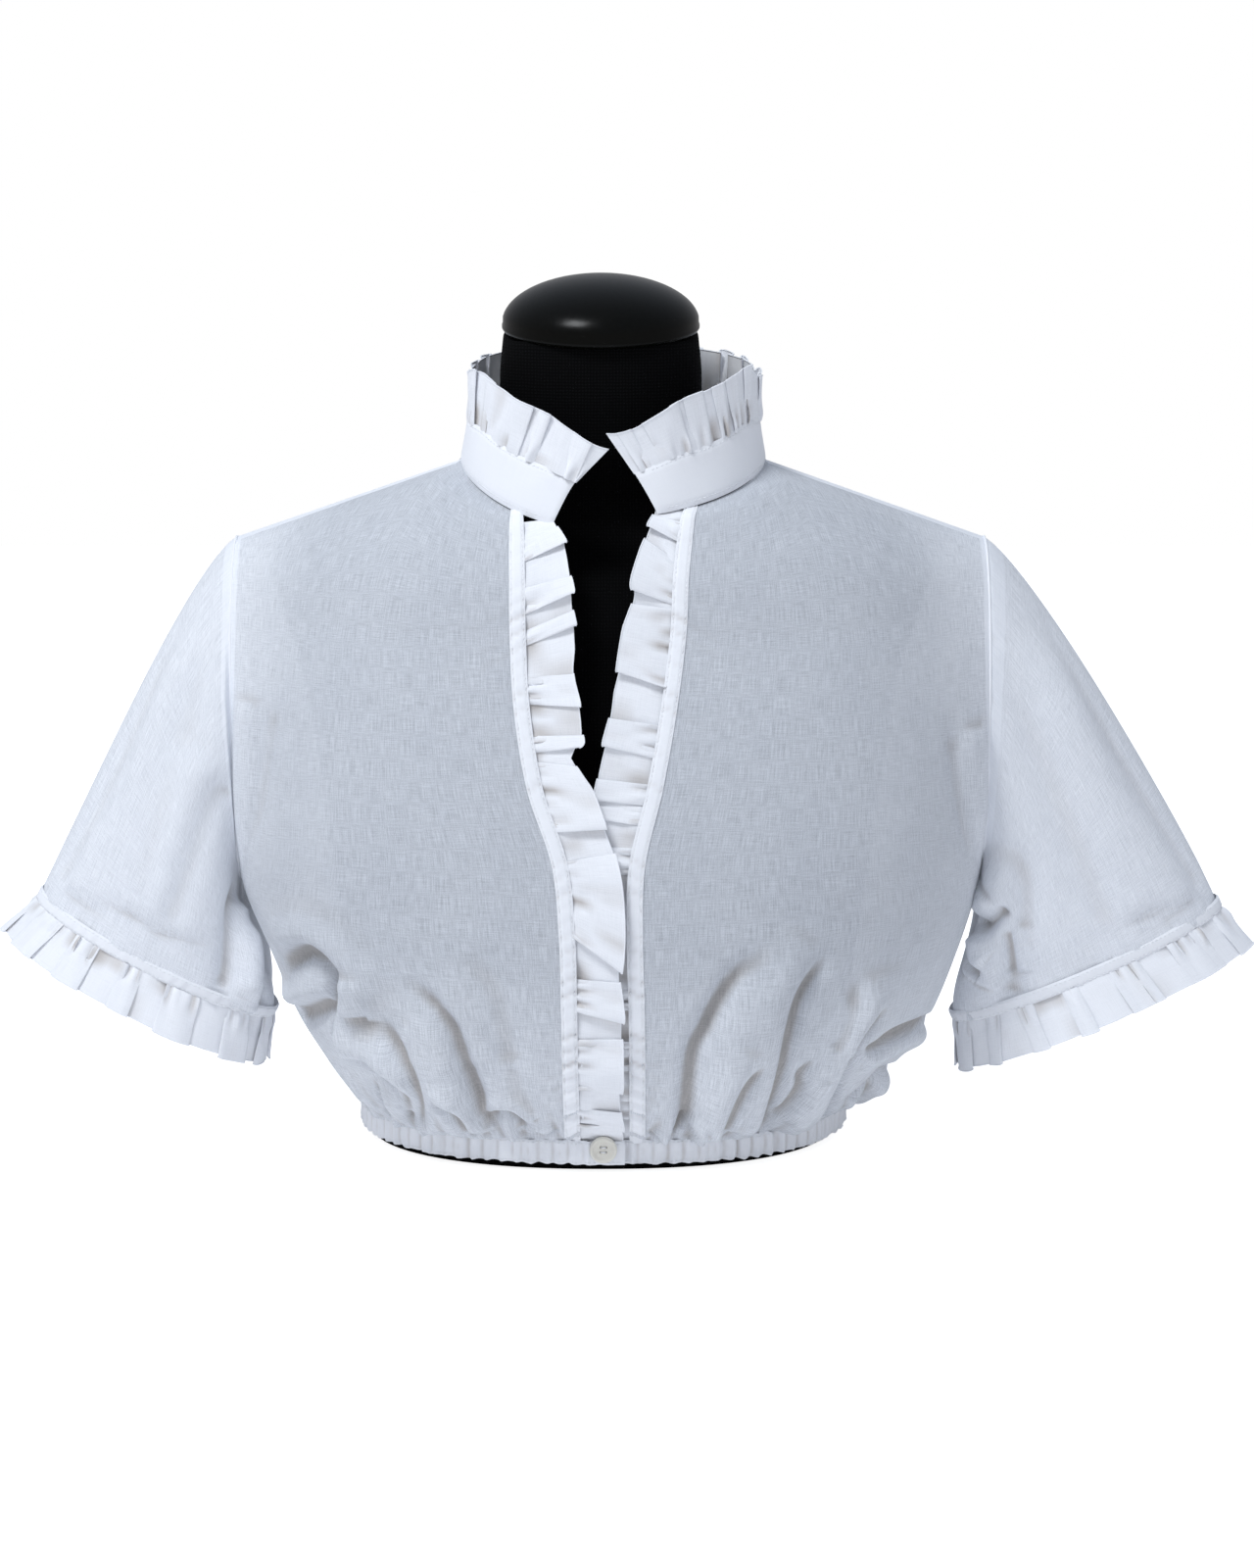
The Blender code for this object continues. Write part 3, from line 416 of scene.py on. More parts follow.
def crease_height(points, normal, u, v, creases):
    """Trough: -depth exp(-(distance/near)^2). Ridge: lift exp(-((side distance - reach)/reach)^2)."""
    height = np.zeros(points.shape[:2])
    for crease in creases:
        line = smooth_through(np.array(crease.line), np.linspace(0, len(crease.line) - 1, CREASE_STEPS))
        rows = np.interp(line[:, 1], v, np.arange(len(v)))
        columns = np.interp(line[:, 0], u, np.arange(len(u)))
        spine = on_grid(points, rows, columns)
        across = unit(np.cross(on_grid(normal, rows, columns), np.gradient(spine, axis=0))) * crease.hand
        gaps = np.stack([np.sum((points - point) ** 2, -1) for point in spine])
        nearest = np.argmin(gaps, 0)
        distance = np.sqrt(np.min(gaps, 0))
        sideways = np.sum((points - spine[nearest]) * across[nearest], -1)
        beyond = np.sqrt(np.maximum(distance ** 2 - sideways ** 2, 0))
        along = nearest / (CREASE_STEPS - 1)
        fade = np.clip(along / crease.head, 0, 1) * np.clip((1 - along) / TAIL_SHARE + TAIL_END, 0, 1)
        fade = fade * fade * (3 - 2 * fade) * np.exp(-(beyond / crease.reach) ** 2)
        trough = -TROUGH_FORCE * crease.depth * np.exp(-(distance / crease.near) ** 2)
        ridge = RIDGE_FORCE * crease.lift * np.exp(-((sideways - crease.reach) / crease.reach) ** 2)
        height += fade * (trough + ridge)
    return height


RIGHT_FRONT_CREASES = [
    Crease([(0.323, 4.40), (0.250, 3.85), (0.223, 3.14), (0.212, 0.9)], 0.0040, 0.0050, 0.0050, 0.013, -1, 0.5),
    Crease([(0.403, 3.66), (0.357, 3.11), (0.348, 2.53), (0.405, 1.2)], 0.0034, 0.0042, 0.0040, 0.011, -1, 0.3),
    Crease([(0.642, 2.69), (0.470, 2.69), (0.403, 2.31), (0.460, 0.8)], 0.0040, 0.0050, 0.0045, 0.012, 1, 0.3),
    Crease([(0.743, 4.01), (0.573, 4.41), (0.505, 4.15), (0.53, 3.7)], 0.0050, 0.0040, 0.0060, 0.012, 1, 0.2),
    Crease([(0.505, 4.31), (0.530, 3.91), (0.60, 2.9)], 0.0030, 0.0042, 0.0035, 0.010, 1, 0.3),
    Crease([(0.843, 3.12), (0.763, 3.19), (0.557, 3.66)], 0.0045, 0.0035, 0.0060, 0.010, 1, 0.2),
    Crease([(0.338, 2.31), (0.273, 1.96), (0.268, 0.4)], 0.0028, 0.0026, 0.0030, 0.006, 1, 0.3),
    Crease([(0.205, 1.35), (0.165, 1.95), (0.120, 1.25)], 0.0026, 0.0024, 0.0026, 0.005, 1, 0.25),
    Crease([(0.138, 1.00), (0.103, 0.70), (0.050, 0.98)], 0.0030, 0.0024, 0.0024, 0.004, 1, 0.25),
    Crease([(0.215, 4.89), (0.147, 4.24), (0.128, 3.04)], 0.0014, 0.0018, 0.0100, 0.022, -1, 0.5),
    Crease([(0.520, 2.40), (0.560, 1.2), (0.60, 0.2)], 0.0024, 0.0024, 0.0030, 0.006, 1, 0.3),
    Crease([(0.72, 2.6), (0.70, 1.4), (0.74, 0.2)], 0.0026, 0.0026, 0.0035, 0.007, 1, 0.4),
    Crease([(0.90, 5.6), (0.80, 6.6), (0.76, 7.9)], 0.0016, 0.0024, 0.0070, 0.016, 1, 0.6),
]
LEFT_FRONT_CREASES = [
    Crease([(0.245, 4.80), (0.173, 4.42), (0.130, 3.74), (0.107, 2.98), (0.125, 0.8)],
           0.0040, 0.0050, 0.0060, 0.014, 1, 0.5),
    Crease([(0.350, 4.70), (0.310, 4.20), (0.295, 3.69), (0.300, 2.81), (0.345, 0.8)],
           0.0040, 0.0048, 0.0050, 0.013, -1, 0.3),
    Crease([(0.255, 3.21), (0.215, 2.53), (0.210, 0.9)], 0.0028, 0.0034, 0.0040, 0.009, -1, 0.4),
    Crease([(0.537, 3.78), (0.487, 3.38), (0.480, 2.70), (0.540, 1.35), (0.573, 0.3)],
           0.0040, 0.0048, 0.0040, 0.011, -1, 0.25),
    Crease([(0.988, 2.81), (0.657, 3.11), (0.500, 3.01)], 0.0030, 0.0036, 0.0035, 0.009, 1, 0.25),
    Crease([(0.953, 1.70), (0.753, 2.05), (0.600, 1.55)], 0.0030, 0.0034, 0.0030, 0.008, 1, 0.25),
    Crease([(0.370, 3.08), (0.352, 2.71), (0.370, 2.24), (0.375, 1.0)], 0.0022, 0.0026, 0.0028, 0.007, 1, 0.4),
    Crease([(0.113, 1.84), (0.098, 0.40)], 0.0024, 0.0020, 0.0022, 0.004, -1, 0.3),
    Crease([(0.160, 1.84), (0.190, 0.60)], 0.0022, 0.0022, 0.0024, 0.005, -1, 0.3),
    Crease([(0.040, 0.90), (0.080, 0.50)], 0.0020, 0.0018, 0.0020, 0.004, 1, 0.3),
    Crease([(0.415, 4.30), (0.430, 3.70), (0.410, 3.10)], 0.0020, 0.0030, 0.0060, 0.014, 1, 0.4),
    Crease([(0.70, 2.3), (0.72, 1.4), (0.78, 0.3)], 0.0024, 0.0026, 0.0035, 0.007, 1, 0.4),
    Crease([(0.92, 5.4), (0.83, 6.3), (0.80, 7.6)], 0.0018, 0.0026, 0.0070, 0.016, -1, 0.6),
]
BACK_CREASES = {
    "right": [
        Crease([(0.10, 4.9), (0.04, 3.9), (0.07, 2.4), (0.03, 0.7)], 0.0036, 0.0046, 0.0055, 0.014, -1, 0.5),
        Crease([(0.30, 4.4), (0.22, 3.4), (0.20, 2.2), (0.24, 0.8)], 0.0034, 0.0044, 0.0050, 0.012, -1, 0.4),
        Crease([(0.50, 3.9), (0.40, 3.1), (0.38, 1.9), (0.43, 0.6)], 0.0036, 0.0044, 0.0045, 0.011, -1, 0.3),
        Crease([(0.76, 4.3), (0.62, 3.4), (0.58, 2.3), (0.63, 0.6)], 0.0036, 0.0044, 0.0050, 0.012, -1, 0.4),
        Crease([(0.88, 2.9), (0.80, 2.0), (0.82, 0.5)], 0.0028, 0.0030, 0.0035, 0.008, 1, 0.3),
        Crease([(0.14, 2.3), (0.16, 1.4), (0.13, 0.4)], 0.0024, 0.0024, 0.0028, 0.006, 1, 0.3),
        Crease([(0.93, 5.7), (0.80, 6.7), (0.70, 8.4)], 0.0020, 0.0028, 0.0080, 0.018, 1, 0.6),
    ],
    "left": [
        Crease([(0.16, 5.2), (0.13, 4.0), (0.16, 2.6), (0.12, 0.7)], 0.0036, 0.0046, 0.0060, 0.014, 1, 0.5),
        Crease([(0.36, 4.2), (0.30, 3.3), (0.29, 2.2), (0.33, 0.7)], 0.0034, 0.0044, 0.0050, 0.012, 1, 0.4),
        Crease([(0.58, 4.6), (0.48, 3.6), (0.45, 2.3), (0.50, 0.6)], 0.0036, 0.0044, 0.0045, 0.012, 1, 0.4),
        Crease([(0.82, 3.9), (0.70, 3.0), (0.66, 1.8), (0.70, 0.5)], 0.0034, 0.0042, 0.0045, 0.011, 1, 0.3),
        Crease([(0.21, 2.0), (0.23, 1.2), (0.22, 0.4)], 0.0024, 0.0024, 0.0028, 0.006, -1, 0.3),
        Crease([(0.40, 2.1), (0.38, 1.3), (0.41, 0.4)], 0.0024, 0.0026, 0.0030, 0.006, -1, 0.3),
        Crease([(0.90, 5.6), (0.78, 6.6), (0.70, 8.0)], 0.0020, 0.0028, 0.0080, 0.018, -1, 0.6),
    ],
}
print("creases", len(RIGHT_FRONT_CREASES), len(LEFT_FRONT_CREASES), sum(map(len, BACK_CREASES.values())))

# %% [markdown]
# ## Gathers at the hem
# The elastic pulls the cloth into fine ridges a few millimetres apart. They run together into fewer, wider
# ones as they climb, and die out within a hand's width. Two layers of uneven waves along the hem do this,
# each with its own spacing, its own size and its own height at which it fades, in metres. They are held
# still at the seams, where the cloth is sewn down.

# %% A panel with its folds
FINE_GATHER = (0.0050, 0.0021, 0.017)
WIDE_GATHER = (0.0120, 0.0030, 0.042)
BAND_PUCKER = (0.0036, 0.00050, 0.018)
GATHER_START = 0.002
GATHER_LEAN = 0.25
LEAN_RUN = 0.021
PUCKER_LEAN = 0.5
SIDE_HOLD = 0.035
EDGE_HOLD = 0.07
EDGE_SHARE = 0.15
SHOULDER_HOLD = 0.5


def gather_height(run, above, gather, seed):
    """Waves along the hem whose height falls off as exp(-(height above the hem / fade)^2)."""
    spacing, size, fade = gather
    ripple = waver(run, spacing, seed)
    rise = np.clip(above / GATHER_START, 0, 1)
    return size * rise * np.exp(-(above / fade) ** 2) * ripple


def panel_cloth(side, face, u, v, creases, seed):
    """The form of half a panel, moved along its normals by creases, gathers and the puckers of its seams."""
    points, normal = panel_form(side, face, u, v)
    height = crease_height(points, normal, u, v, creases)
    run = run_length(points[0])[None, :]
    above = points[..., 2] - points[:1, :, 2]
    lean = run + GATHER_LEAN * above * np.sin(run / LEAN_RUN + seed)
    height += gather_height(lean, above, FINE_GATHER, seed)
    height += gather_height(lean, above, WIDE_GATHER, seed + 1)
    hold = np.clip((1 - u) / SIDE_HOLD, 0, 1)
    if face == "front":
        spacing, size, fade = BAND_PUCKER
        from_edge = run_across(points)
        ripple = waver(points[..., 2] + PUCKER_LEAN * from_edge, spacing, seed + 2)
        height += size * ripple * np.exp(-(from_edge / fade) ** 2)
        hold = hold * (EDGE_SHARE + (1 - EDGE_SHARE) * np.clip(u / EDGE_HOLD, 0, 1))
    top_hold = np.clip((TOP - v) / SHOULDER_HOLD, 0, 1)[:, None]
    return points + normal * (height * hold * top_hold)[..., None], normal


def run_across(points):
    """Distance of each point of a grid from its first column, along the rows."""
    steps = np.linalg.norm(np.diff(points, axis=1), axis=-1)
    return np.concatenate([np.zeros((len(points), 1)), np.cumsum(steps, axis=1)], axis=1)


# %% [markdown]
# ## From a grid to a mesh
# Every new piece is a grid of points joined by four-sided faces. One helper makes the mesh, gives it a UV
# map in metres measured along the cloth, so that threads keep their size on every piece, and turns the
# faces outward. It also writes three numbers at each point, which the material reads: how many layers of
# cloth lie there, how deep it lies in a fold, which sets the painted shade at the bottoms of folds, and how
# dark the form makes it.

# %% From a grid to a mesh
cloth_area = {}
HOLLOW_REACH = 0.0050
HOLLOW_DEPTH = 0.0013
LEAST_GRID = 9
MERGE_DISTANCE = 1e-7


def grid_faces(rows, columns, wrap):
    """Four-sided faces between neighbouring rows and columns, and the grid place of each face's corners."""
    row, col = np.meshgrid(np.arange(rows - 1), np.arange(columns if wrap else columns - 1), indexing="ij")
    corners = [(row, col), (row, col + 1), (row + 1, col + 1), (row + 1, col)]
    faces = np.stack([r * columns + c % columns for r, c in corners], -1).reshape(-1, 4)
    return faces, np.stack([np.stack([r, c], -1) for r, c in corners], 2).reshape(-1, 4, 2)


def cloth_uv(points, wrap):
    """Mean distance along the rows and along the columns, in metres."""
    closed = np.concatenate([points, points[:, :1]], axis=1) if wrap else points
    along = np.concatenate([[0.0], np.cumsum(np.linalg.norm(np.diff(closed, axis=1), axis=-1).mean(0))])
    up = np.concatenate([[0.0], np.cumsum(np.linalg.norm(np.diff(points, axis=0), axis=-1).mean(1))])
    return along, up


def blurred(values, axis, radius):
    """A moving average along one axis, by running sums."""
    pad = [(0, 0)] * values.ndim
    pad[axis] = (radius + 1, radius)
    total = np.cumsum(np.pad(values, pad, mode="edge"), axis=axis)
    span = 2 * radius + 1
    count = values.shape[axis]
    return (np.take(total, np.arange(span, span + count), axis) - np.take(total, np.arange(count), axis)) / span


def fold_shade_mask(points, outward):
    """How far each point lies inside the cloth around it, up to 1 at HOLLOW_DEPTH. It marks folds' bottoms, where
    the material paints shade.
    """
    steps = [np.linalg.norm(np.diff(points, axis=axis), axis=-1).mean() for axis in (0, 1)]
    radius = [int(np.clip(HOLLOW_REACH / step, 1, min(points.shape[:2]) // 3)) for step in steps]
    around = blurred(blurred(points, 0, radius[0]), 1, radius[1])
    normal = grid_normals(points, outward)
    inside = np.sum((around - points) * normal, -1) / HOLLOW_DEPTH
    return np.clip(inside, 0, 1)


def surface(name, points, material, outward, wrap=False, layers=0.0, merge=False, veil=0.0):
    """A mesh object over a grid of points, with faces turned along the rough outward directions."""
    shape = points.shape[:2]
    faces, places = grid_faces(*shape, wrap)
    flat = points.reshape(-1, 3)
    across = flat[faces[:, 1]] - flat[faces[:, 0]]
    upward = flat[faces[:, 3]] - flat[faces[:, 0]]
    facing = np.sum(np.cross(across, upward) * outward.reshape(-1, 3)[faces[:, 0]])
    if facing < 0:
        faces, places = faces[:, ::-1], places[:, ::-1]
    mesh = bpy.data.meshes.new(name)
    mesh.from_pydata(flat.tolist(), [], faces.tolist())
    along, up = cloth_uv(points, wrap)
    uv = np.stack([along[places[..., 1]], up[places[..., 0]]], -1)
    mesh.uv_layers.new(name="UVMap").uv.foreach_set("vector", uv.astype(np.float32).ravel())
    # How deep each point lies in a fold: the mask for the painted shade at the bottoms of folds.
    fold_shade = fold_shade_mask(points, outward) if min(shape) > LEAST_GRID and not merge else 0.0
    for title, values in (("layers", layers), ("fold_shade", fold_shade), ("veil", veil)):
        values = np.broadcast_to(values, shape).astype(np.float32)
        mesh.attributes.new(title, "FLOAT", "POINT").data.foreach_set("value", values.ravel())
    mesh.update()
    mesh.shade_smooth()
    if merge:
        work = bmesh.new()
        work.from_mesh(mesh)
        bmesh.ops.remove_doubles(work, verts=work.verts, dist=MERGE_DISTANCE)
        work.to_mesh(mesh)
        work.free()
    made = place_object(name, mesh)
    mesh.materials.append(material)
    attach(made, "root")
    cloth_area[name] = sum(face.area for face in mesh.polygons)
    print(name, "faces", len(mesh.polygons), "area", round(cloth_area[name], 5))
    return made


def stand_for(made, slot, *nodes):
    """Hides the solids that a piece replaces. The slot argument is not used."""
    if nodes:
        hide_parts(*nodes)
    return made


# %% [markdown]
# ## Threads
# Batiste is a plain weave of fine, slightly uneven yarn. From a step away single threads can't be told
# apart, but thick places in the yarn show as short streaks along both directions, and over the black form
# they show most, because thin places let more black through. One shader node group makes that: two
# stretched noises for the streaks, a third for the grain and a wide one for clouds in the tone. It puts out
# a tone, a cover and a height.

# %% The thread group
WARP_SCALE = (2100, 85, 1)
WEFT_SCALE = (95, 2300, 1)
GRAIN_SCALE = (1900, 1900, 1)
CLOUD_SCALE = (28, 20, 1)
YARN_SHARES = (0.42, 0.34, 0.24)
STREAK_ROUGHNESS = 0.6
CLOUD_FORCE = 0.55
MEAN = 0.5


def add_node(tree, kind, **values):
    """A node with its settings, for short material functions."""
    made = tree.nodes.new(kind)
    for name, value in values.items():
        setattr(made, name, value)
    return made


def feed(tree, socket, value):
    """Links a socket to another one, or sets it to a number or a colour."""
    if isinstance(value, bpy.types.NodeSocket):
        tree.links.new(value, socket)
    else:
        socket.default_value = value


def number_node(tree, operation, first, second):
    """A Math node; each input is a number or a socket."""
    made = add_node(tree, "ShaderNodeMath", operation=operation)
    feed(tree, made.inputs[0], first)
    feed(tree, made.inputs[1], second)
    return made.outputs[0]


def colour_node(tree, factor, first, second, blend="MIX"):
    """A Mix node for colours; each input is a colour or a socket."""
    made = add_node(tree, "ShaderNodeMix", data_type="RGBA", blend_type=blend)
    for name, value in (("Factor", factor), ("A", first), ("B", second)):
        feed(tree, made.inputs[name], value)
    return made.outputs["Result"]


def streaks(tree, vector, scale, detail):
    """Noise on a stretched map, from 0 to 1."""
    turn = add_node(tree, "ShaderNodeMapping")
    turn.inputs["Scale"].default_value = scale
    tree.links.new(vector, turn.inputs["Vector"])
    noise = add_node(tree, "ShaderNodeTexNoise")
    noise.inputs["Scale"].default_value = 1.0
    noise.inputs["Detail"].default_value = detail
    noise.inputs["Roughness"].default_value = STREAK_ROUGHNESS
    tree.links.new(turn.outputs[0], noise.inputs["Vector"])
    return noise.outputs["Fac"]


def make_thread_group():
    """Inputs: a map in metres and how uneven the yarn is. Outputs: tone, cover and height, each about MEAN."""
    group = bpy.data.node_groups.new("cloth_threads", "ShaderNodeTree")
    face = group.interface
    face.new_socket("Vector", in_out="INPUT", socket_type="NodeSocketVector")
    face.new_socket("Unevenness", in_out="INPUT", socket_type="NodeSocketFloat")
    for name in ("Tone", "Cover", "Height"):
        face.new_socket(name, in_out="OUTPUT", socket_type="NodeSocketFloat")
    inside = add_node(group, "NodeGroupInput")
    outside = add_node(group, "NodeGroupOutput")
    vector = inside.outputs["Vector"]
    warp = streaks(group, vector, WARP_SCALE, 2.0)
    weft = streaks(group, vector, WEFT_SCALE, 2.0)
    grain = streaks(group, vector, GRAIN_SCALE, 1.0)
    cloud = streaks(group, vector, CLOUD_SCALE, 2.0)
    noises = (warp, weft, grain)
    parts = [number_node(group, "MULTIPLY", noise, share) for noise, share in zip(noises, YARN_SHARES)]
    yarn = number_node(group, "ADD", number_node(group, "ADD", parts[0], parts[1]), parts[2])
    off = number_node(group, "SUBTRACT", yarn, MEAN)
    strong = number_node(group, "MULTIPLY", off, inside.outputs["Unevenness"])
    cover = number_node(group, "ADD", strong, MEAN)
    soft = number_node(group, "MULTIPLY", number_node(group, "SUBTRACT", cloud, MEAN), CLOUD_FORCE)
    for name, socket in (("Tone", number_node(group, "ADD", cover, soft)), ("Cover", cover), ("Height", yarn)):
        group.links.new(socket, outside.inputs[name])
    return group


THREADS = make_thread_group()
print("nodes in the thread group", len(THREADS.nodes))

# %% [markdown]
# ## Cotton
# Tone mixes two whites. Where the cloth is single over the form it is greyer, and at the bottoms of folds
# painted shade makes it darker and warmer. Cover and the layers beneath set how much of the form shows through.

# %% Cotton
VEIL_COLOUR = (0.73, 0.74, 0.755, 1.0)
# Painted shade: the warm grey that the bottoms of folds are multiplied towards.
FOLD_SHADE_COLOUR = (0.66, 0.615, 0.57, 1.0)
COVER_FORCE = 0.55
LAYER_COVER = 0.85
CLOTH_RELIEF = 0.0004
CLOTH_FINISH = {"Roughness": 0.88, "Specular IOR Level": 0.18, "Sheen Weight": 0.12, "Sheen Roughness": 0.5}


def new_finish(name, constants):
    """A material, its tree and its shader, with the shader's constants set."""
    material = bpy.data.materials.new(name)
    material.use_nodes = True
    shader = material.node_tree.nodes["Principled BSDF"]
    for title, value in constants.items():
        shader.inputs[title].default_value = value
    return material, material.node_tree, shader


def add_bump(tree, shader, height, strength, distance):
    """A bump from a height socket, on the shader's normal."""
    bumps = add_node(tree, "ShaderNodeBump")
    bumps.inputs["Strength"].default_value = strength
    bumps.inputs["Distance"].default_value = distance
    tree.links.new(height, bumps.inputs["Height"])
    tree.links.new(bumps.outputs[0], shader.inputs["Normal"])


def make_cloth_material(name, light, dark, cover, unevenness, bump):
    """Matt sheer cotton between a light and a dark tone, with a mean cover and an unevenness of its yarn."""
    material, tree, shader = new_finish(name, CLOTH_FINISH)
    place = add_node(tree, "ShaderNodeUVMap", uv_map="UVMap")
    threads = add_node(tree, "ShaderNodeGroup", node_tree=THREADS)
    threads.inputs["Unevenness"].default_value = unevenness
    tree.links.new(place.outputs[0], threads.inputs["Vector"])
    layers, veil, fold_shade = (
        add_node(tree, "ShaderNodeAttribute", attribute_name=title).outputs["Fac"]
        for title in ("layers", "veil", "fold_shade")
    )
    shade = colour_node(tree, threads.outputs["Tone"], (*dark, 1.0), (*light, 1.0))
    bare = number_node(tree, "SUBTRACT", 1.0, layers)
    shade = colour_node(tree, number_node(tree, "MULTIPLY", veil, bare), shade, VEIL_COLOUR, "MULTIPLY")
    # Painted shade: the bottoms of folds are multiplied towards a darker, warmer colour.
    shade = colour_node(tree, fold_shade, shade, FOLD_SHADE_COLOUR, "MULTIPLY")
    tree.links.new(shade, shader.inputs["Base Color"])
    off = number_node(tree, "SUBTRACT", threads.outputs["Cover"], MEAN)
    single = number_node(tree, "ADD", number_node(tree, "MULTIPLY", off, COVER_FORCE), cover)
    missing = number_node(tree, "SUBTRACT", 1.0, single)
    kept = number_node(tree, "SUBTRACT", 1.0, number_node(tree, "MULTIPLY", layers, LAYER_COVER))
    alpha = number_node(tree, "SUBTRACT", 1.0, number_node(tree, "MULTIPLY", missing, kept))
    tree.links.new(alpha, shader.inputs["Alpha"])
    add_bump(tree, shader, threads.outputs["Height"], bump, CLOTH_RELIEF)
    return material


BATISTE = make_cloth_material("batiste_single", (0.94, 0.96, 1.0), (0.78, 0.81, 0.87), 0.88, 2.4, 0.5)
DOUBLED = make_cloth_material("batiste_doubled", (0.96, 0.97, 1.0), (0.88, 0.90, 0.95), 0.98, 0.8, 0.3)
print("cotton materials", BATISTE.name, DOUBLED.name)

# %% [markdown]
# ## Thread, form and button materials
# The sewing thread is a plain bright white with a little gloss. The form has a matt black jersey cover,
# whose knit shows as fine rows of loops, and a satin black cap. The button is cream plastic, clouded a little,
# its gloss a little uneven.

# %% Thread, form and button materials
PLAIN_RELIEF = 0.0003
KNIT_RELIEF = 0.0005
KNIT_WAVE = {"Scale": 190.0, "Distortion": 1.5, "Detail": 1.0}
KNIT_DARK = (0.0016, 0.0016, 0.0018, 1.0)
KNIT_LIGHT = (0.0050, 0.0050, 0.0056, 1.0)
KNIT_FINISH = {"Roughness": 0.95, "Specular IOR Level": 0.06}
KNIT_BUMP = 0.5


def make_plain_material(name, low, high, roughness, spread, scale, bump, gleam=0.5):
    """A finish whose colour and roughness drift with a noise of the given scale, on Object coordinates."""
    material, tree, shader = new_finish(name, {"Specular IOR Level": gleam})
    place = add_node(tree, "ShaderNodeTexCoord")
    drift = streaks(tree, place.outputs["Object"], (scale,) * 3, 3.0)
    tree.links.new(colour_node(tree, drift, (*low, 1.0), (*high, 1.0)), shader.inputs["Base Color"])
    gloss = number_node(tree, "ADD", number_node(tree, "MULTIPLY", drift, spread), roughness - spread / 2)
    tree.links.new(gloss, shader.inputs["Roughness"])
    add_bump(tree, shader, drift, bump, PLAIN_RELIEF)
    return material


def make_jersey():
    """Black knit: rows of loops as a wave across a wave, with a matt fuzz."""
    material, tree, shader = new_finish("jersey_cover", KNIT_FINISH)
    place = add_node(tree, "ShaderNodeTexCoord")
    ribs = []
    for direction in ("X", "Z"):
        rib = add_node(tree, "ShaderNodeTexWave", wave_type="BANDS", bands_direction=direction)
        for title, value in KNIT_WAVE.items():
            rib.inputs[title].default_value = value
        tree.links.new(place.outputs["Object"], rib.inputs["Vector"])
        ribs.append(rib.outputs["Fac"])
    knit = number_node(tree, "MULTIPLY", ribs[0], ribs[1])
    tree.links.new(colour_node(tree, knit, KNIT_DARK, KNIT_LIGHT), shader.inputs["Base Color"])
    add_bump(tree, shader, knit, KNIT_BUMP, KNIT_RELIEF)
    return material


THREAD = make_plain_material("sewing_thread", (0.86, 0.88, 0.92), (0.95, 0.96, 0.98), 0.55, 0.1, 900, 0.2)
CREAM = make_plain_material("cream_plastic", (0.74, 0.71, 0.63), (0.86, 0.84, 0.77), 0.32, 0.12, 160, 0.05)
SATIN = make_plain_material(
    "satin_black", (0.0015, 0.0015, 0.001), (0.003, 0.003, 0.0025), 0.24, 0.08, 420, 0.10, gleam=0.10
)
JERSEY = make_jersey()
print("other materials", THREAD.name, CREAM.name, SATIN.name, JERSEY.name)

# %% [markdown]
# ## Floor
# A pale floor carries the form. It gives a little light of its own, so that it stays near the white of the
# background.

# %% Floor
FLOOR_HALF = 3.0
FLOOR_HEIGHT = -0.0002
FLOOR_FINISH = {"Base Color": (0.90, 0.90, 0.91, 1.0), "Roughness": 0.9, "Emission Color": WHITE}
GLOW = 0.12
GLOW_SEEN = 0.75


def make_floor():
    """A flat square, a fifth of a millimetre under the form's base."""
    corners = [(FLOOR_HALF * x, FLOOR_HALF * y, FLOOR_HEIGHT) for x, y in ((-1, -1), (1, -1), (1, 1), (-1, 1))]
    mesh = bpy.data.meshes.new("floor")
    mesh.from_pydata(corners, [], [(0, 1, 2, 3)])
    floor = place_object("floor", mesh)
    material, tree, shader = new_finish("pale_floor", FLOOR_FINISH)
    seen = add_node(tree, "ShaderNodeLightPath")
    glow = number_node(tree, "MULTIPLY", seen.outputs["Is Camera Ray"], GLOW_SEEN)
    tree.links.new(number_node(tree, "ADD", glow, GLOW), shader.inputs["Emission Strength"])
    mesh.materials.append(material)
    print("floor", 2 * FLOOR_HALF, "metres wide")


make_floor()

# %% [markdown]
# ## Dress form
# The torso is smooth level ovals, read from a table and joined by the same curves. The neck is narrower
# than its cap, as on a bust form sold for shops. The cap is a turned dome with a thin rolled rim.

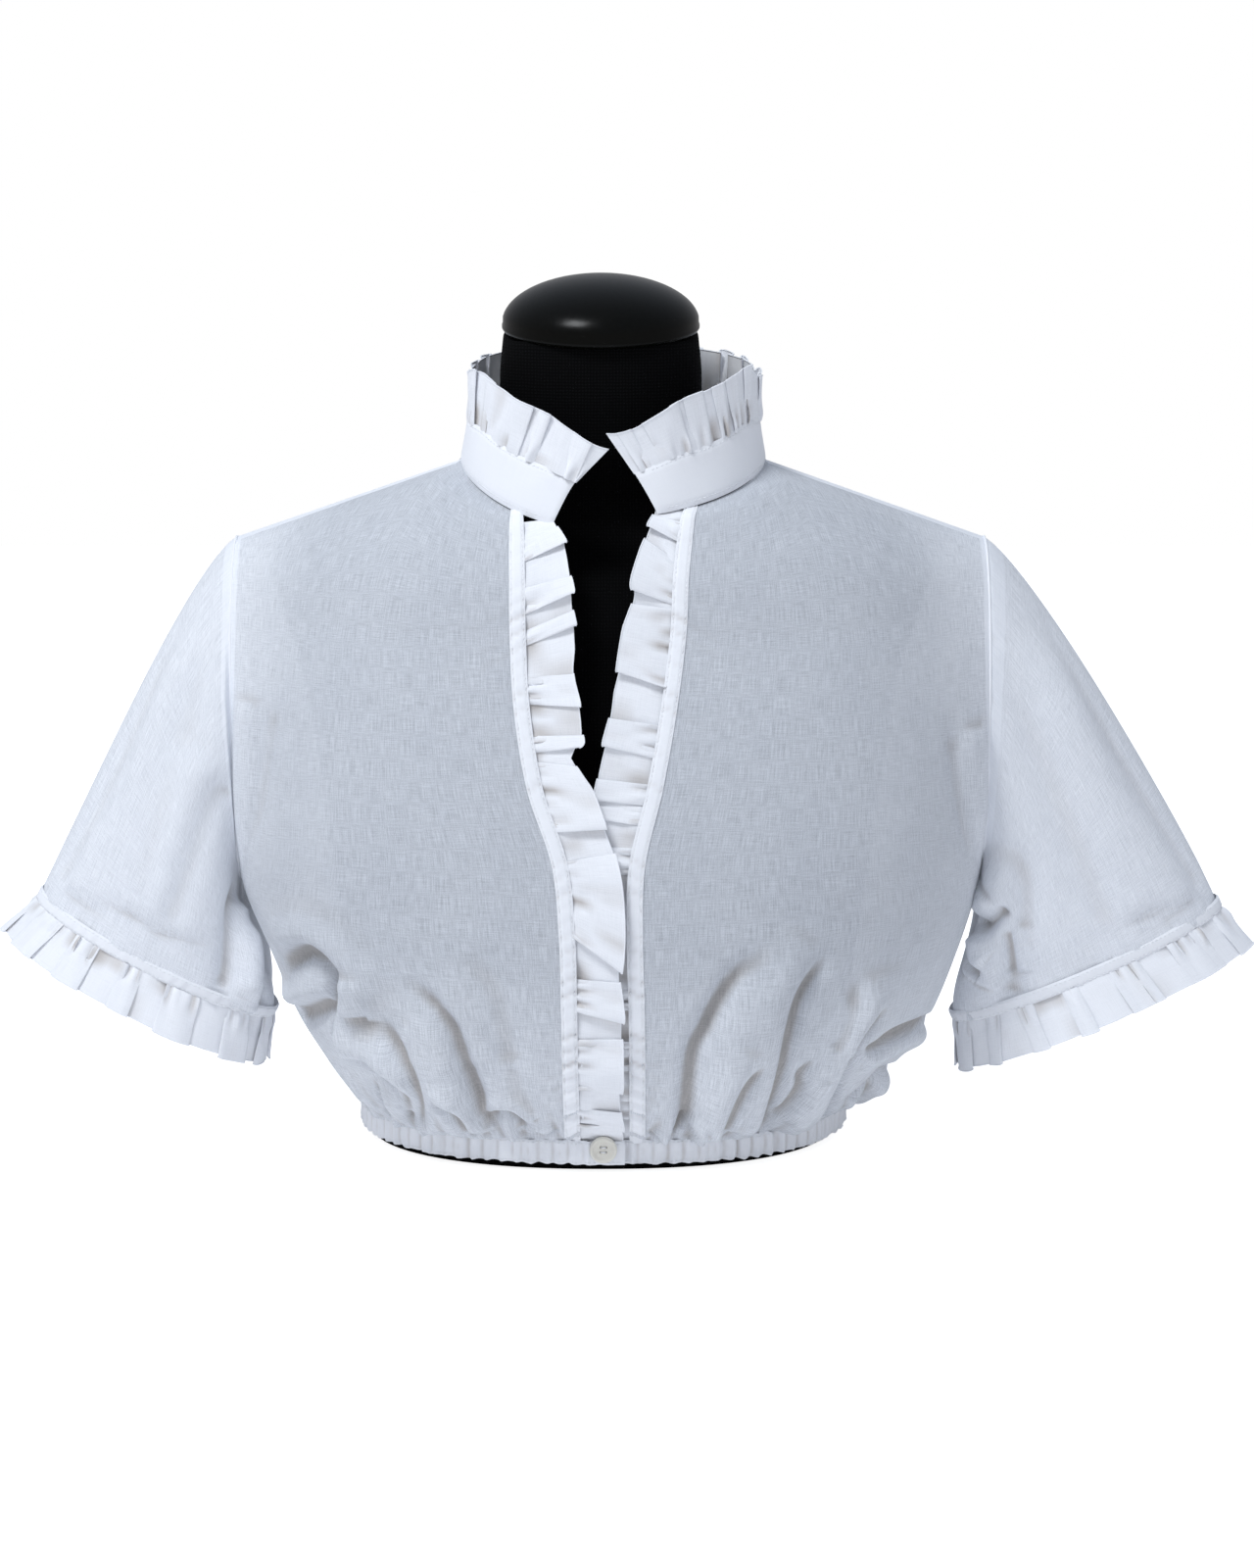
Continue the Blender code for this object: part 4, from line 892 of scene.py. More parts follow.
# %% Dress form
Slice = namedtuple("Slice", "height half_width front back middle")
FORM = [
    Slice(0.0000, 0.1270, 0.0930, 0.0850, 0.000), Slice(0.0265, 0.1275, 0.0940, 0.0860, 0.000),
    Slice(0.0665, 0.1330, 0.1050, 0.0880, 0.000), Slice(0.1065, 0.1400, 0.1170, 0.0890, 0.000),
    Slice(0.1415, 0.1450, 0.1200, 0.0890, 0.000), Slice(0.1765, 0.1490, 0.1140, 0.0880, 0.000),
    Slice(0.2165, 0.1550, 0.1020, 0.0860, 0.000), Slice(0.2565, 0.1620, 0.0890, 0.0810, 0.000),
    Slice(0.2865, 0.1720, 0.0770, 0.0710, 0.000), Slice(0.3065, 0.1780, 0.0620, 0.0600, 0.000),
    Slice(0.3225, 0.1730, 0.0440, 0.0480, -0.002), Slice(0.3345, 0.1595, 0.0335, 0.0420, -0.004),
    Slice(0.3445, 0.1325, 0.0320, 0.0390, -0.006), Slice(0.3545, 0.1030, 0.0330, 0.0405, -0.008),
    Slice(0.3645, 0.0710, 0.0375, 0.0440, -0.009), Slice(0.3765, 0.0570, 0.0460, 0.0470, -0.010),
    Slice(0.3965, 0.0540, 0.0480, 0.0480, -0.010), Slice(0.4165, 0.0535, 0.0480, 0.0480, -0.010),
    Slice(0.4325, 0.0520, 0.0476, 0.0476, -0.010),
]
FORM_SQUARENESS = 0.9
NECK_TOP = 0.4365
NECK_ROUND = 0.0035
CAP_RADIUS = 0.0525
CAP_HEIGHT = 0.0290
CAP_TILT = math.radians(9.0)
CAP_Y = -0.010
CAP_GAP = 0.0003
CAP_MIDDLE = 0.01
CAP_RIM_TOP = 0.0042
CAP_RIM = [
    (0.0, 0.0), (0.90, 0.0), (0.96, 0.0002), (0.985, 0.0009), (1.0, 0.0022), (1.0, 0.0034), (0.992, 0.0042)
]
CAP_ANGLES = np.arange(8, 91, 4)
CAP_COLUMNS = 96
FORM_ROWS = 110
FORM_COLUMNS = 144
FORM_CORE = (0.0, 0.0, 0.2)
TOP_TURNS = (0, 20, 40, 60, 80, 90)


def form_rows(angle):
    """Level ovals: half width times cos and depth times sin, each to a power a little under one."""
    at = np.linspace(0, len(FORM) - 1, FORM_ROWS)
    width, front, back, middle, height = (
        smooth_through(column(FORM, name), at)[:, None]
        for name in ("half_width", "front", "back", "middle", "height")
    )
    cosine = np.sign(np.cos(angle)) * np.abs(np.cos(angle)) ** FORM_SQUARENESS
    sine = np.sign(np.sin(angle)) * np.abs(np.sin(angle)) ** FORM_SQUARENESS
    depth = np.where(sine > 0, back, front)
    return np.stack([width * cosine, middle + depth * sine, height + 0 * angle], -1)


def make_form():
    """The torso's rows, a base row drawn in to its centre, and a rounded, tilted top."""
    angle = np.linspace(0, 2 * math.pi, FORM_COLUMNS, endpoint=False)[None, :]
    rows = form_rows(angle)
    last = rows[-1]
    centre = np.array([0.0, CAP_Y, 0.0])
    tops = []
    for turn in np.radians(TOP_TURNS):
        inward = NECK_ROUND * (1 - math.cos(turn))
        ring = last + unit((centre - last) * np.array([1, 1, 0])) * inward
        ring[:, 2] = NECK_TOP - NECK_ROUND * (1 - math.sin(turn)) + (ring[:, 1] - CAP_Y) * math.tan(CAP_TILT)
        tops.append(ring)
    lid = np.tile(np.array([0.0, CAP_Y, NECK_TOP]), (len(last), 1))
    foot = np.zeros((len(last), 3))
    points = np.concatenate([[foot], rows, tops, [lid]])
    made = surface("form_cover", points, JERSEY, points - np.array(FORM_CORE), wrap=True, merge=True)
    stand_for(made, "jersey", "form_torso")


def make_cap():
    """A profile of a flat underside, a rolled rim and a quarter of an oval, turned about the tilted axis."""
    rise = CAP_HEIGHT - CAP_RIM_TOP
    dome = [(math.cos(turn), CAP_RIM_TOP + rise * math.sin(turn)) for turn in np.radians(CAP_ANGLES)]
    profile = np.array([(share * CAP_RADIUS, height) for share, height in CAP_RIM + dome])
    profile[-1, 0] = 0.0
    angle = np.linspace(0, 2 * math.pi, CAP_COLUMNS, endpoint=False)
    across = profile[:, :1] * np.cos(angle)
    deep = profile[:, :1] * np.sin(angle)
    high = np.broadcast_to(profile[:, 1:], across.shape)
    cosine, sine = math.cos(CAP_TILT), math.sin(CAP_TILT)
    back = CAP_Y + deep * cosine - high * sine
    up = NECK_TOP + CAP_GAP + deep * sine + high * cosine
    points = np.stack([across, back, up], -1)
    middle = np.array([0.0, CAP_Y, NECK_TOP + CAP_MIDDLE])
    made = surface("neck_dome", points, SATIN, points - middle, wrap=True, merge=True)
    stand_for(made, "satin_plastic", "neck_cap")


make_form()
make_cap()

# %% [markdown]
# ## Fronts and back
# The two fronts and the back are the panels above, on a grid fine enough for creases two or three
# millimetres wide, closer together near the hem where the gathers are. The cloth is doubled along the side,
# shoulder and armhole seams, and the layers attribute says so.

# %% Fronts and back
PANEL_U = np.linspace(0, 1, 240)
PANEL_V = np.concatenate([np.linspace(0, 3, 120), np.linspace(3, TOP, 145)[1:]])
SEAM_ALLOWANCE = 0.008
SIDE_SEAM = 0.004
SEAM_FADE = 0.0005
VEIL_SIDE = 0.75
VEIL_SIDE_FROM = 0.62
VEIL_SIDE_RUN = 0.34
VEIL_SIDE_POWER = 1.5
VEIL_LOW = 0.70
VEIL_LOW_BELOW = 0.125
VEIL_LOW_RUN = 0.07
BACK_EASE = 0.05


def seam_layers(points, seam_column, width):
    """1 within the seam allowance of a column of the grid, falling to 0 over half a millimetre."""
    run = run_across(points)
    gap = np.abs(run - run[:, seam_column][:, None])
    return np.clip((width - gap) / SEAM_FADE, 0, 1)


def shoulder_layers(points, u, width):
    """1 within the seam allowance of the shoulder seam."""
    steps = np.linalg.norm(np.diff(points, axis=0), axis=-1)
    below = np.concatenate([np.cumsum(steps[::-1], axis=0)[::-1], np.zeros((1, points.shape[1]))])
    return np.clip((width - below) / SEAM_FADE, 0, 1) * (u > NECK_SHARE)


def form_veil(points, u):
    """How dark the black form makes the cloth: full on the chest, less at the sides and low down."""
    toward_side = 1 - VEIL_SIDE * np.clip((u - VEIL_SIDE_FROM) / VEIL_SIDE_RUN, 0, 1) ** VEIL_SIDE_POWER
    low = 1 - VEIL_LOW * np.clip((VEIL_LOW_BELOW - points[..., 2]) / VEIL_LOW_RUN, 0, 1)
    return toward_side * low


panels = {}
for side, creases, seed in (("right", RIGHT_FRONT_CREASES, 11), ("left", LEFT_FRONT_CREASES, 23)):
    points, normal = panel_cloth(side, "front", PANEL_U, PANEL_V, creases, seed)
    layers = np.maximum(seam_layers(points, -1, SIDE_SEAM), shoulder_layers(points, PANEL_U, SEAM_ALLOWANCE))
    panels[side] = (points, normal)
    veil = form_veil(points, PANEL_U)
    made = surface("front_cloth_" + side, points, BATISTE, normal, layers=layers, veil=veil)
    stand_for(made, "batiste", "front_" + side)

BACK_U = np.linspace(0, 1, 170)
BACK_V = np.concatenate([np.linspace(0, 3, 90), np.linspace(3, TOP, 115)[1:]])
halves = [panel_cloth(side, "back", BACK_U, BACK_V, BACK_CREASES[side], seed)
          for side, seed in (("right", 31), ("left", 47))]
middle = (halves[0][0][:, :1] + halves[1][0][:, :1]) / 2
ease = np.exp(-(BACK_U / BACK_EASE) ** 2)[None, :, None]
for half in halves:
    half[0][:] += (middle - half[0][:, :1]) * ease
back_points = np.concatenate([halves[0][0][:, :0:-1], middle, halves[1][0][:, 1:]], axis=1)
back_normal = np.concatenate([halves[0][1][:, :0:-1], halves[0][1][:, :1], halves[1][1][:, 1:]], axis=1)
both_u = np.concatenate([BACK_U[:0:-1], BACK_U])
back_layers = shoulder_layers(back_points, both_u, SEAM_ALLOWANCE)
for seam_column in (0, -1):
    back_layers = np.maximum(back_layers, seam_layers(back_points, seam_column, SEAM_ALLOWANCE))
back_veil = form_veil(back_points, both_u)
made = surface("back_cloth", back_points, BATISTE, back_normal, layers=back_layers, veil=back_veil)
stand_for(made, "batiste", "back")

# %% [markdown]
# ## Sleeves
# Each sleeve is a tube between two ovals: the armhole, and the leaning cuff. Every line along it is a
# Hermite curve, which leaves the armhole and meets the cuff in given directions. Its creases run down from
# the underarm and across the front, and the underarm seam shows as a white strip.

# %% Sleeves
def cuff_oval(side, angle, down, flare):
    """The cuff's oval from its outer end round by the front, moved down the arm and flared."""
    cuff = CUFFS[side]
    outer = np.array([cuff.outer_x, 0.0, cuff.outer_z])
    inner = np.array([cuff.inner_x, 0.0, cuff.inner_z])
    half = (outer - inner) / 2
    half_length = np.linalg.norm(half)
    toward_outer = half / half_length
    along_arm = np.array([toward_outer[2], 0.0, -toward_outer[0]]) * side_sign(side)
    down, flare = np.asarray(down, float)[..., None], np.asarray(flare, float)[..., None]
    front = np.array([0.0, -1.0, 0.0])
    across = toward_outer * (half_length + flare) * np.cos(angle)[..., None]
    middle = (outer + inner) / 2 + along_arm * down
    return middle + across + front * (cuff.half_depth + flare) * np.sin(angle)[..., None]


def sleeve_form(side, angle, t):
    """Hermite curves from the armhole to the cuff, rows t by columns angle."""
    sign = side_sign(side)
    start = armhole(side, angle)
    end = cuff_oval(side, angle, 0.0, 0.0)
    further = cuff_oval(side, angle, CUFF_STEP, 0.0)
    low = ((1 - np.cos(angle)) / 2)[:, None]
    over_shoulder = np.array([sign * SLEEVE_HEAD_RUN[0], 0.0, -SLEEVE_HEAD_RUN[1]])
    under_arm = np.array([sign * UNDERARM_RUN[0], 0.0, -UNDERARM_RUN[1]])
    leave = over_shoulder * (1 - low) + under_arm * low
    arrive = (further - end) * (CUFF_PULL * (1 - low) + UNDERARM_CUFF_PULL * low) / CUFF_STEP
    t = t[:, None, None]
    return (
        (2 * t ** 3 - 3 * t ** 2 + 1) * start + (t ** 3 - 2 * t ** 2 + t) * leave
        + (3 * t ** 2 - 2 * t ** 3) * end + (t ** 3 - t ** 2) * arrive
    )


SLEEVE_CREASES = {
    "right": [
        Crease([(0.9, 0.04), (1.25, 0.40), (1.35, 0.85)], 0.0016, 0.0034, 0.0100, 0.020, 1, 0.3),
        Crease([(1.9, 0.02), (1.75, 0.30), (1.60, 0.80)], 0.0018, 0.0034, 0.0080, 0.018, -1, 0.3),
        Crease([(2.8, 0.10), (2.35, 0.45), (2.20, 0.90)], 0.0030, 0.0040, 0.0060, 0.012, 1, 0.25),
        Crease([(3.0, 0.35), (2.75, 0.65), (2.70, 0.97)], 0.0026, 0.0030, 0.0045, 0.009, -1, 0.25),
        Crease([(0.35, 0.20), (0.55, 0.55), (0.50, 0.90)], 0.0016, 0.0028, 0.0080, 0.016, 1, 0.4),
        Crease([(4.3, 0.05), (4.5, 0.45), (4.6, 0.90)], 0.0024, 0.0036, 0.0080, 0.018, 1, 0.3),
        Crease([(3.6, 0.15), (3.9, 0.50), (4.0, 0.92)], 0.0030, 0.0038, 0.0060, 0.012, -1, 0.25),
        Crease([(5.3, 0.05), (5.1, 0.45), (5.2, 0.88)], 0.0018, 0.0030, 0.0080, 0.018, 1, 0.4),
    ],
    "left": [
        Crease([(2.75, 0.32), (2.48, 0.45), (2.15, 0.50)], 0.0050, 0.0040, 0.0045, 0.010, 1, 0.15),
        Crease([(2.85, 0.42), (2.66, 0.62), (2.48, 0.72)], 0.0046, 0.0040, 0.0045, 0.010, 1, 0.15),
        Crease([(1.95, 0.30), (1.90, 0.52), (2.10, 0.75), (2.22, 0.90)], 0.0030, 0.0040, 0.0080, 0.018, -1, 0.3),
        Crease([(2.15, 0.58), (2.16, 0.80)], 0.0022, 0.0020, 0.0030, 0.006, 1, 0.2),
        Crease([(1.10, 0.05), (1.30, 0.40), (1.35, 0.85)], 0.0014, 0.0030, 0.0100, 0.020, 1, 0.4),
        Crease([(0.45, 0.20), (0.55, 0.55), (0.42, 0.90)], 0.0016, 0.0028, 0.0080, 0.016, -1, 0.4),
        Crease([(3.7, 0.25), (3.95, 0.50), (4.15, 0.60)], 0.0044, 0.0040, 0.0050, 0.011, -1, 0.2),
        Crease([(4.5, 0.10), (4.6, 0.50), (4.4, 0.90)], 0.0024, 0.0036, 0.0080, 0.018, 1, 0.3),
        Crease([(5.4, 0.05), (5.2, 0.45), (5.3, 0.90)], 0.0018, 0.0030, 0.0080, 0.018, -1, 0.4),
    ],
}
SLEEVE_SEAM_WIDTH = {"right": 0.006, "left": 0.010}
UNDERARM_SEAM = 0.0055
SLEEVE_COLUMNS = 280
SLEEVE_ROWS = 165
SLEEVE_RUN = 0.2
HEAD_HOLD = 0.03
CUFF_HOLD = 0.02
SleeveGather = namedtuple("SleeveGather", "at_cuff size spacing fade")
SLEEVE_GATHERS = [
    SleeveGather(True, 0.00045, 0.0046, 0.014),
    SleeveGather(True, 0.0012, 0.024, 0.06),
    SleeveGather(False, 0.0004, 0.0070, 0.012),
]


def sleeve_cloth(side, seed):
    """The tube, moved along its normals by creases and by small gathers at both ends."""
    angle = np.linspace(0, 2 * math.pi, SLEEVE_COLUMNS, endpoint=False)
    t = np.linspace(0, 1, SLEEVE_ROWS)
    points = sleeve_form(side, angle, t)
    wide = np.concatenate([points[:, -1:], points, points[:, :1]], axis=1)
    rough = wide - points.mean(1)[:, None]
    normal = grid_normals(wide, rough)[:, 1:-1]
    height = crease_height(points, normal, angle, t, SLEEVE_CREASES[side])
    around = run_length(points[-1])[None, :]
    for place, gather in enumerate(SLEEVE_GATHERS):
        away = (1 - t if gather.at_cuff else t)[:, None] * SLEEVE_RUN
        height += gather.size * waver(around, gather.spacing, seed + place) * np.exp(-(away / gather.fade) ** 2)
    hold = np.clip(t / HEAD_HOLD, 0, 1)[:, None] * np.clip((1 - t) / CUFF_HOLD, 0, 1)[:, None]
    return points + normal * (height * hold)[..., None], normal


for side, seed in (("right", 61), ("left", 73)):
    points, normal = sleeve_cloth(side, seed)
    under = points.shape[1] // 2
    layers = seam_layers(points, under, UNDERARM_SEAM)
    depth = cloth_uv(points, True)[1]
    layers = np.maximum(layers, np.clip((SLEEVE_SEAM_WIDTH[side] - depth) / SEAM_FADE, 0, 1)[:, None])
    made = surface("sleeve_cloth_" + side, points, BATISTE, normal, wrap=True, layers=layers)
    stand_for(made, "batiste", "sleeve_" + side)

# %% [markdown]
# ## Seams and stitches
# A sewn seam is a low ridge with a line of stitches beside it. The ridge is a thin tube carried along the
# seam. The stitches are hundreds of small beads, each a few faces, laid along a line at the machine's
# stitch length and joined in one mesh from whole arrays.

# %% Seams and stitches
STITCH = 0.0026
STITCH_LENGTH = 0.0019
STITCH_RADIUS = 0.00030
THREAD_PROUD = 0.0001
BEAD_RINGS = ((-0.3, 0.85), (0.0, 1.0), (0.3, 0.85))
BEAD_TIP = (0.5, -0.8)
BEAD_FLAT = 0.9
BEAD_STEP = 0.0005
SEAM_RADIUS = 0.0007
SEAM_COLUMNS = 200


def tube(line, normal, radius, sides=8, closed=False):
    """A round tube: at each point of the line, radius times cos along the normal and sin across it."""
    ahead = np.roll(line, -1, 0) - np.roll(line, 1, 0) if closed else np.gradient(line, axis=0)
    across = unit(np.cross(unit(ahead), normal))
    up = unit(np.cross(across, unit(ahead)))
    turn = np.linspace(0, 2 * math.pi, sides, endpoint=False)[None, :, None]
    radius = np.broadcast_to(np.asarray(radius, float), (len(line),))[:, None, None]
    return line[:, None] + radius * (np.cos(turn) * up[:, None] + np.sin(turn) * across[:, None])


def tube_piece(name, line, normal, radius, material, closed=False, sides=8):
    """A tube as a piece. An open tube is drawn in to a point at both ends."""
    points = tube(line, normal, radius, sides, closed)
    if closed:
        points = np.concatenate([points, points[:1]])
        centre = np.concatenate([line, line[:1]])
    else:
        tips = [np.repeat(end[None], sides, 1) for end in (line[:1], line[-1:])]
        points = np.concatenate([tips[0], points, tips[1]])
        centre = np.concatenate([line[:1], line, line[-1:]])
    return surface(name, points, material, points - centre[:, None], wrap=True, layers=1.0, merge=True)


def stitch_beads(line, normal):
    """Beads along a line: two ends that dip into the cloth and three rings of four corners between them."""
    run = run_length(line)
    at = np.arange(STITCH / 2, run[-1] - STITCH / 2, STITCH)
    middle = np.stack([np.interp(at, run, line[:, k]) for k in range(3)], -1)
    ahead = unit(np.stack([np.interp(at + BEAD_STEP, run, line[:, k]) for k in range(3)], -1) - middle)
    up = np.stack([np.interp(at, run, normal[:, k]) for k in range(3)], -1)
    across = unit(np.cross(ahead, up))
    up = unit(np.cross(across, ahead))
    shape = [(-BEAD_TIP[0], 0.0, BEAD_TIP[1])]
    for along, size in BEAD_RINGS:
        corners = np.radians([45, 135, 225, 315])
        shape += [(along, math.cos(turn) * size, math.sin(turn) * size * BEAD_FLAT) for turn in corners]
    shape = np.array(shape + [(BEAD_TIP[0], 0.0, BEAD_TIP[1])])
    points = (
        middle[:, None] + ahead[:, None] * shape[None, :, :1] * STITCH_LENGTH
        + across[:, None] * shape[None, :, 1:2] * STITCH_RADIUS
        + up[:, None] * shape[None, :, 2:] * STITCH_RADIUS
    )
    faces = []
    for corner in range(4):
        after = (corner + 1) % 4
        faces.append((0, 1 + after, 1 + corner))
        faces.append((13, 9 + corner, 9 + after))
        for ring in (1, 5):
            faces.append((ring + corner, ring + after, ring + 4 + after))
            faces.append((ring + corner, ring + 4 + after, ring + 4 + corner))
    faces = np.array(faces)[None] + (np.arange(len(at)) * len(shape))[:, None, None]
    return points.reshape(-1, 3), faces.reshape(-1, 3)


def stitch_piece(name, lines):
    """All the stitches of one seam in one mesh."""
    points, faces, count = [], [], 0
    for line, normal in lines:
        some_points, some_faces = stitch_beads(line + normal * THREAD_PROUD, normal)
        points.append(some_points)
        faces.append(some_faces + count)
        count += len(some_points)
    mesh = bpy.data.meshes.new(name)
    mesh.from_pydata(np.concatenate(points).tolist(), [], np.concatenate(faces).tolist())
    work = bmesh.new()
    work.from_mesh(mesh)
    bmesh.ops.recalc_face_normals(work, faces=work.faces)
    work.to_mesh(mesh)
    work.free()
    mesh.shade_smooth()
    mesh.materials.append(THREAD)
    made = place_object(name, mesh)
    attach(made, "root")
    print(name, "stitches", count // 14)


for side in SIDES:
    angle = np.linspace(0, 2 * math.pi, SEAM_COLUMNS, endpoint=False)
    line = armhole(side, angle)
    out = unit(line - np.array([line[0, 0], 0.0, ARMHOLE_CENTRE]))
    tube_piece("armhole_seam_" + side, line, out, SEAM_RADIUS, DOUBLED, closed=True)

# %% [markdown]
# ## Bands of the front edges
# Each front edge is a narrow folded band with a row of stitches along both its edges. The band follows the
# panel's own points, moved out, and its cross-section is a flat pillow: thick in the middle, thin at the
# stitched edges. Small puckers cross it where the gathered frill is sewn under it.

# %% Bands of the front edges
BAND_WIDTH = 0.0084
BAND_BASE = 0.0004
BAND_LIFT = 0.0006
BAND_DIP = 0.00055
BAND_ROWS = 15
BAND_REACH = 60
BAND_CROSS = (0.00060, 0.0038, 0.004, 5)
BAND_CALM = 0.3
LOW_FORCE = 1.6
LOW_HEIGHT = 0.02
LOW_RUN = 0.05
BAND_FOOT = HEM_TOP + 0.0002
BAND_HEAD = NECK_EDGE_HEIGHT + 0.002
STITCH_ROW = 0.14
STITCH_ROW_WIDTH = 0.06


def row_at(points, distance):
    """The points of each row of a grid at a distance from its first column."""
    run = run_across(points)
    rows = [[np.interp(distance, r, p[:, k]) for k in range(3)] for r, p in zip(run, points)]
    return np.array(rows)


def stitched_pillow(share, power, dip):
    """Across a folded band: the height of its pillow, from 0 to 1, and the dip at its two rows of stitches."""
    in_from_edge = min(share, 1 - share)
    return 1 - (2 * share - 1) ** power, dip * math.exp(-((in_from_edge - STITCH_ROW) / STITCH_ROW_WIDTH) ** 2)


def band_grid(side):
    """Columns across the band by rows up the front, with puckers that follow the run of the edge."""
    points, normal = panels[side]
    size, spacing, slant, seed = BAND_CROSS
    columns = []
    height = points[:, 0, 2]
    out = row_at(normal[:, :BAND_REACH], 0.0)
    low = np.exp(-((height - LOW_HEIGHT) / LOW_RUN) ** 2)
    for share in np.linspace(0, 1, BAND_ROWS):
        place = row_at(points[:, :BAND_REACH], share * BAND_WIDTH)
        pillow, dip = stitched_pillow(share, 8, BAND_DIP)
        pucker = size * waver(height + slant * share, spacing, seed) * (BAND_CALM + (1 - BAND_CALM) * pillow)
        pucker = pucker * (1 + LOW_FORCE * low)
        columns.append(place + out * (BAND_BASE + BAND_LIFT * pillow - dip + pucker)[:, None])
    keep = (height > BAND_FOOT) & (height < BAND_HEAD)
    return np.stack(columns, 1)[keep], normal[keep][:, :1]


bands = {}
for side in SIDES:
    grid, out = band_grid(side)
    bands[side] = grid
    made = surface("band_" + side, grid, DOUBLED, np.broadcast_to(out, grid.shape), layers=1.0)
    stand_for(made, "doubled_batiste", "edge_band_" + side)
    stitch_piece("band_stitches_" + side, [(grid[::2, share], out[::2, 0]) for share in (2, 12)])

# %% [markdown]
# ## Pleats
# A pressed pleat is an S in cross-section: the cloth runs under the raised part, folds back over itself,
# crosses the raised part, folds back under it and runs on. Each raised part is one row of a table: where
# its two fold lines lie at the seam and at the free edge, how far it lifts, and how far the cloth goes
# under at each fold. Nine numbered points for each pleat, joined smoothly, give the S, and the same numbers
# at the seam and at the free edge make the whole strip, with finer gathers by the seam.

# %% Pleats
Pleat = namedtuple("Pleat", "root_low root_high free_low free_high lift under_low under_high")
S_HEIGHTS = np.array([0.04, 0.34, 0.74, 1.0, 0.86, 0.66, 0.46, 0.28, 0.06])
STEPS_PER_POINT = 4
FRILL_ROWS = 20
SEAM_RISE = 0.16
RISE_POWER = 0.8
Pucker = namedtuple("Pucker", "force spacing centre width seed")
SEAM_PUCKERS = [Pucker(1.0, 0.0036, 0.12, 0.20, 0), Pucker(0.8, 0.0061, 0.20, 0.30, 2)]
PUCKER_SIZE = 0.0015
SOFT_WAVER = 0.0013
SOFT_SPACING = 0.0120
HEM_ROLL = 0.00038


def pleat_path(lows, highs, under_lows, under_highs):
    """Places along the strip of the nine points of each S, low fold first."""
    width = highs - lows
    return np.stack([
        lows + under_lows, lows + 0.5 * under_lows, lows, lows + 0.15 * width, lows + 0.5 * width,
        highs - 0.15 * width, highs, highs - 0.5 * under_highs, highs - under_highs,
    ], 1).ravel()


def pleat_strip(pleats, ends):
    """For each column of a strip: its place at the seam, at the free edge, and its height from 0 to 1."""
    root_low, root_high, free_low, free_high, lift, under_low, under_high = (
        column(pleats, name) for name in Pleat._fields
    )
    root = pleat_path(root_low, root_high, under_low, under_high)
    free = pleat_path(free_low, free_high, under_low, under_high)
    height = (lift[:, None] * S_HEIGHTS[None]).ravel()
    root = np.concatenate([[ends[0]], root, [ends[1]]])
    free = np.concatenate([[ends[2]], free, [ends[3]]])
    height = np.concatenate([[0.0], height, [0.0]])
    at = np.linspace(0, len(root) - 1, (len(root) - 1) * STEPS_PER_POINT + 1)
    return smooth_through(root, at), smooth_through(free, at), smooth_through(height, at)


def frill_surface(pleats, ends, root_point, free_point, out_way, lift, seed):
    """From the seam to the free edge, lifted by the S, by puckers at the seam and by a soft waver."""
    root, free, height = pleat_strip(pleats, ends)
    share = np.linspace(0, 1, FRILL_ROWS)[:, None]
    start, end, out = root_point(root), free_point(free, height), out_way(root)
    cloth = run_length(end)
    points = start[None] * (1 - share[..., None]) + end[None] * share[..., None]
    rise = height[None] * lift * (SEAM_RISE + (1 - SEAM_RISE) * share ** RISE_POWER)
    for pucker in SEAM_PUCKERS:
        wave = pucker.force * PUCKER_SIZE * waver(cloth, pucker.spacing, seed + pucker.seed)[None]
        rise = rise + wave * np.exp(-((share - pucker.centre) / pucker.width) ** 2)
    soft = SOFT_WAVER * waver(cloth, SOFT_SPACING, seed + 1)[None] * share * np.sin(math.pi * share * 0.6 + 0.4)
    return points + out[None] * (rise + soft)[..., None], out, cloth


def frill_pieces(name, hem_name, node, points, out):
    """A frill as one piece, and the narrow rolled hem along its free edge as another."""
    made = surface(name, points, DOUBLED, np.broadcast_to(out, points.shape))
    stand_for(made, "doubled_batiste", node)
    tube_piece(hem_name, points[-1], out, HEM_ROLL, DOUBLED, sides=6)


# %% [markdown]
# ## Frills of the front edges
# The wearer's right frill lies over the left one below the opening. Its raised pleats and their lobes are
# placed from the photograph, as heights in metres. The free edge has a narrow rolled hem, a thin tube along
# it, which catches the light as a bright line.

# %% Frills of the front edges
RIGHT_PLEATS = [
    Pleat(0.0275, 0.0400, 0.0255, 0.0385, 0.55, 0.0020, 0.0030),
    Pleat(0.0512, 0.0800, 0.0500, 0.0809, 1.00, 0.0045, 0.0030),
    Pleat(0.0952, 0.1125, 0.0898, 0.1118, 0.90, 0.0045, 0.0025),
    Pleat(0.1346, 0.1733, 0.1170, 0.1780, 1.10, 0.0060, 0.0040),
    Pleat(0.1880, 0.2235, 0.1905, 0.2215, 0.85, 0.0035, 0.0035),
    Pleat(0.2275, 0.2360, 0.2311, 0.2372, 1.00, 0.0020, 0.0020),
    Pleat(0.2515, 0.2650, 0.2510, 0.2672, 0.55, 0.0025, 0.0030),
    Pleat(0.2800, 0.2876, 0.2912, 0.2989, 0.85, 0.0030, 0.0025),
    Pleat(0.2956, 0.3095, 0.3077, 0.3158, 0.95, 0.0040, 0.0025),
    Pleat(0.3218, 0.3318, 0.3322, 0.3395, 1.00, 0.0035, 0.0025),
]
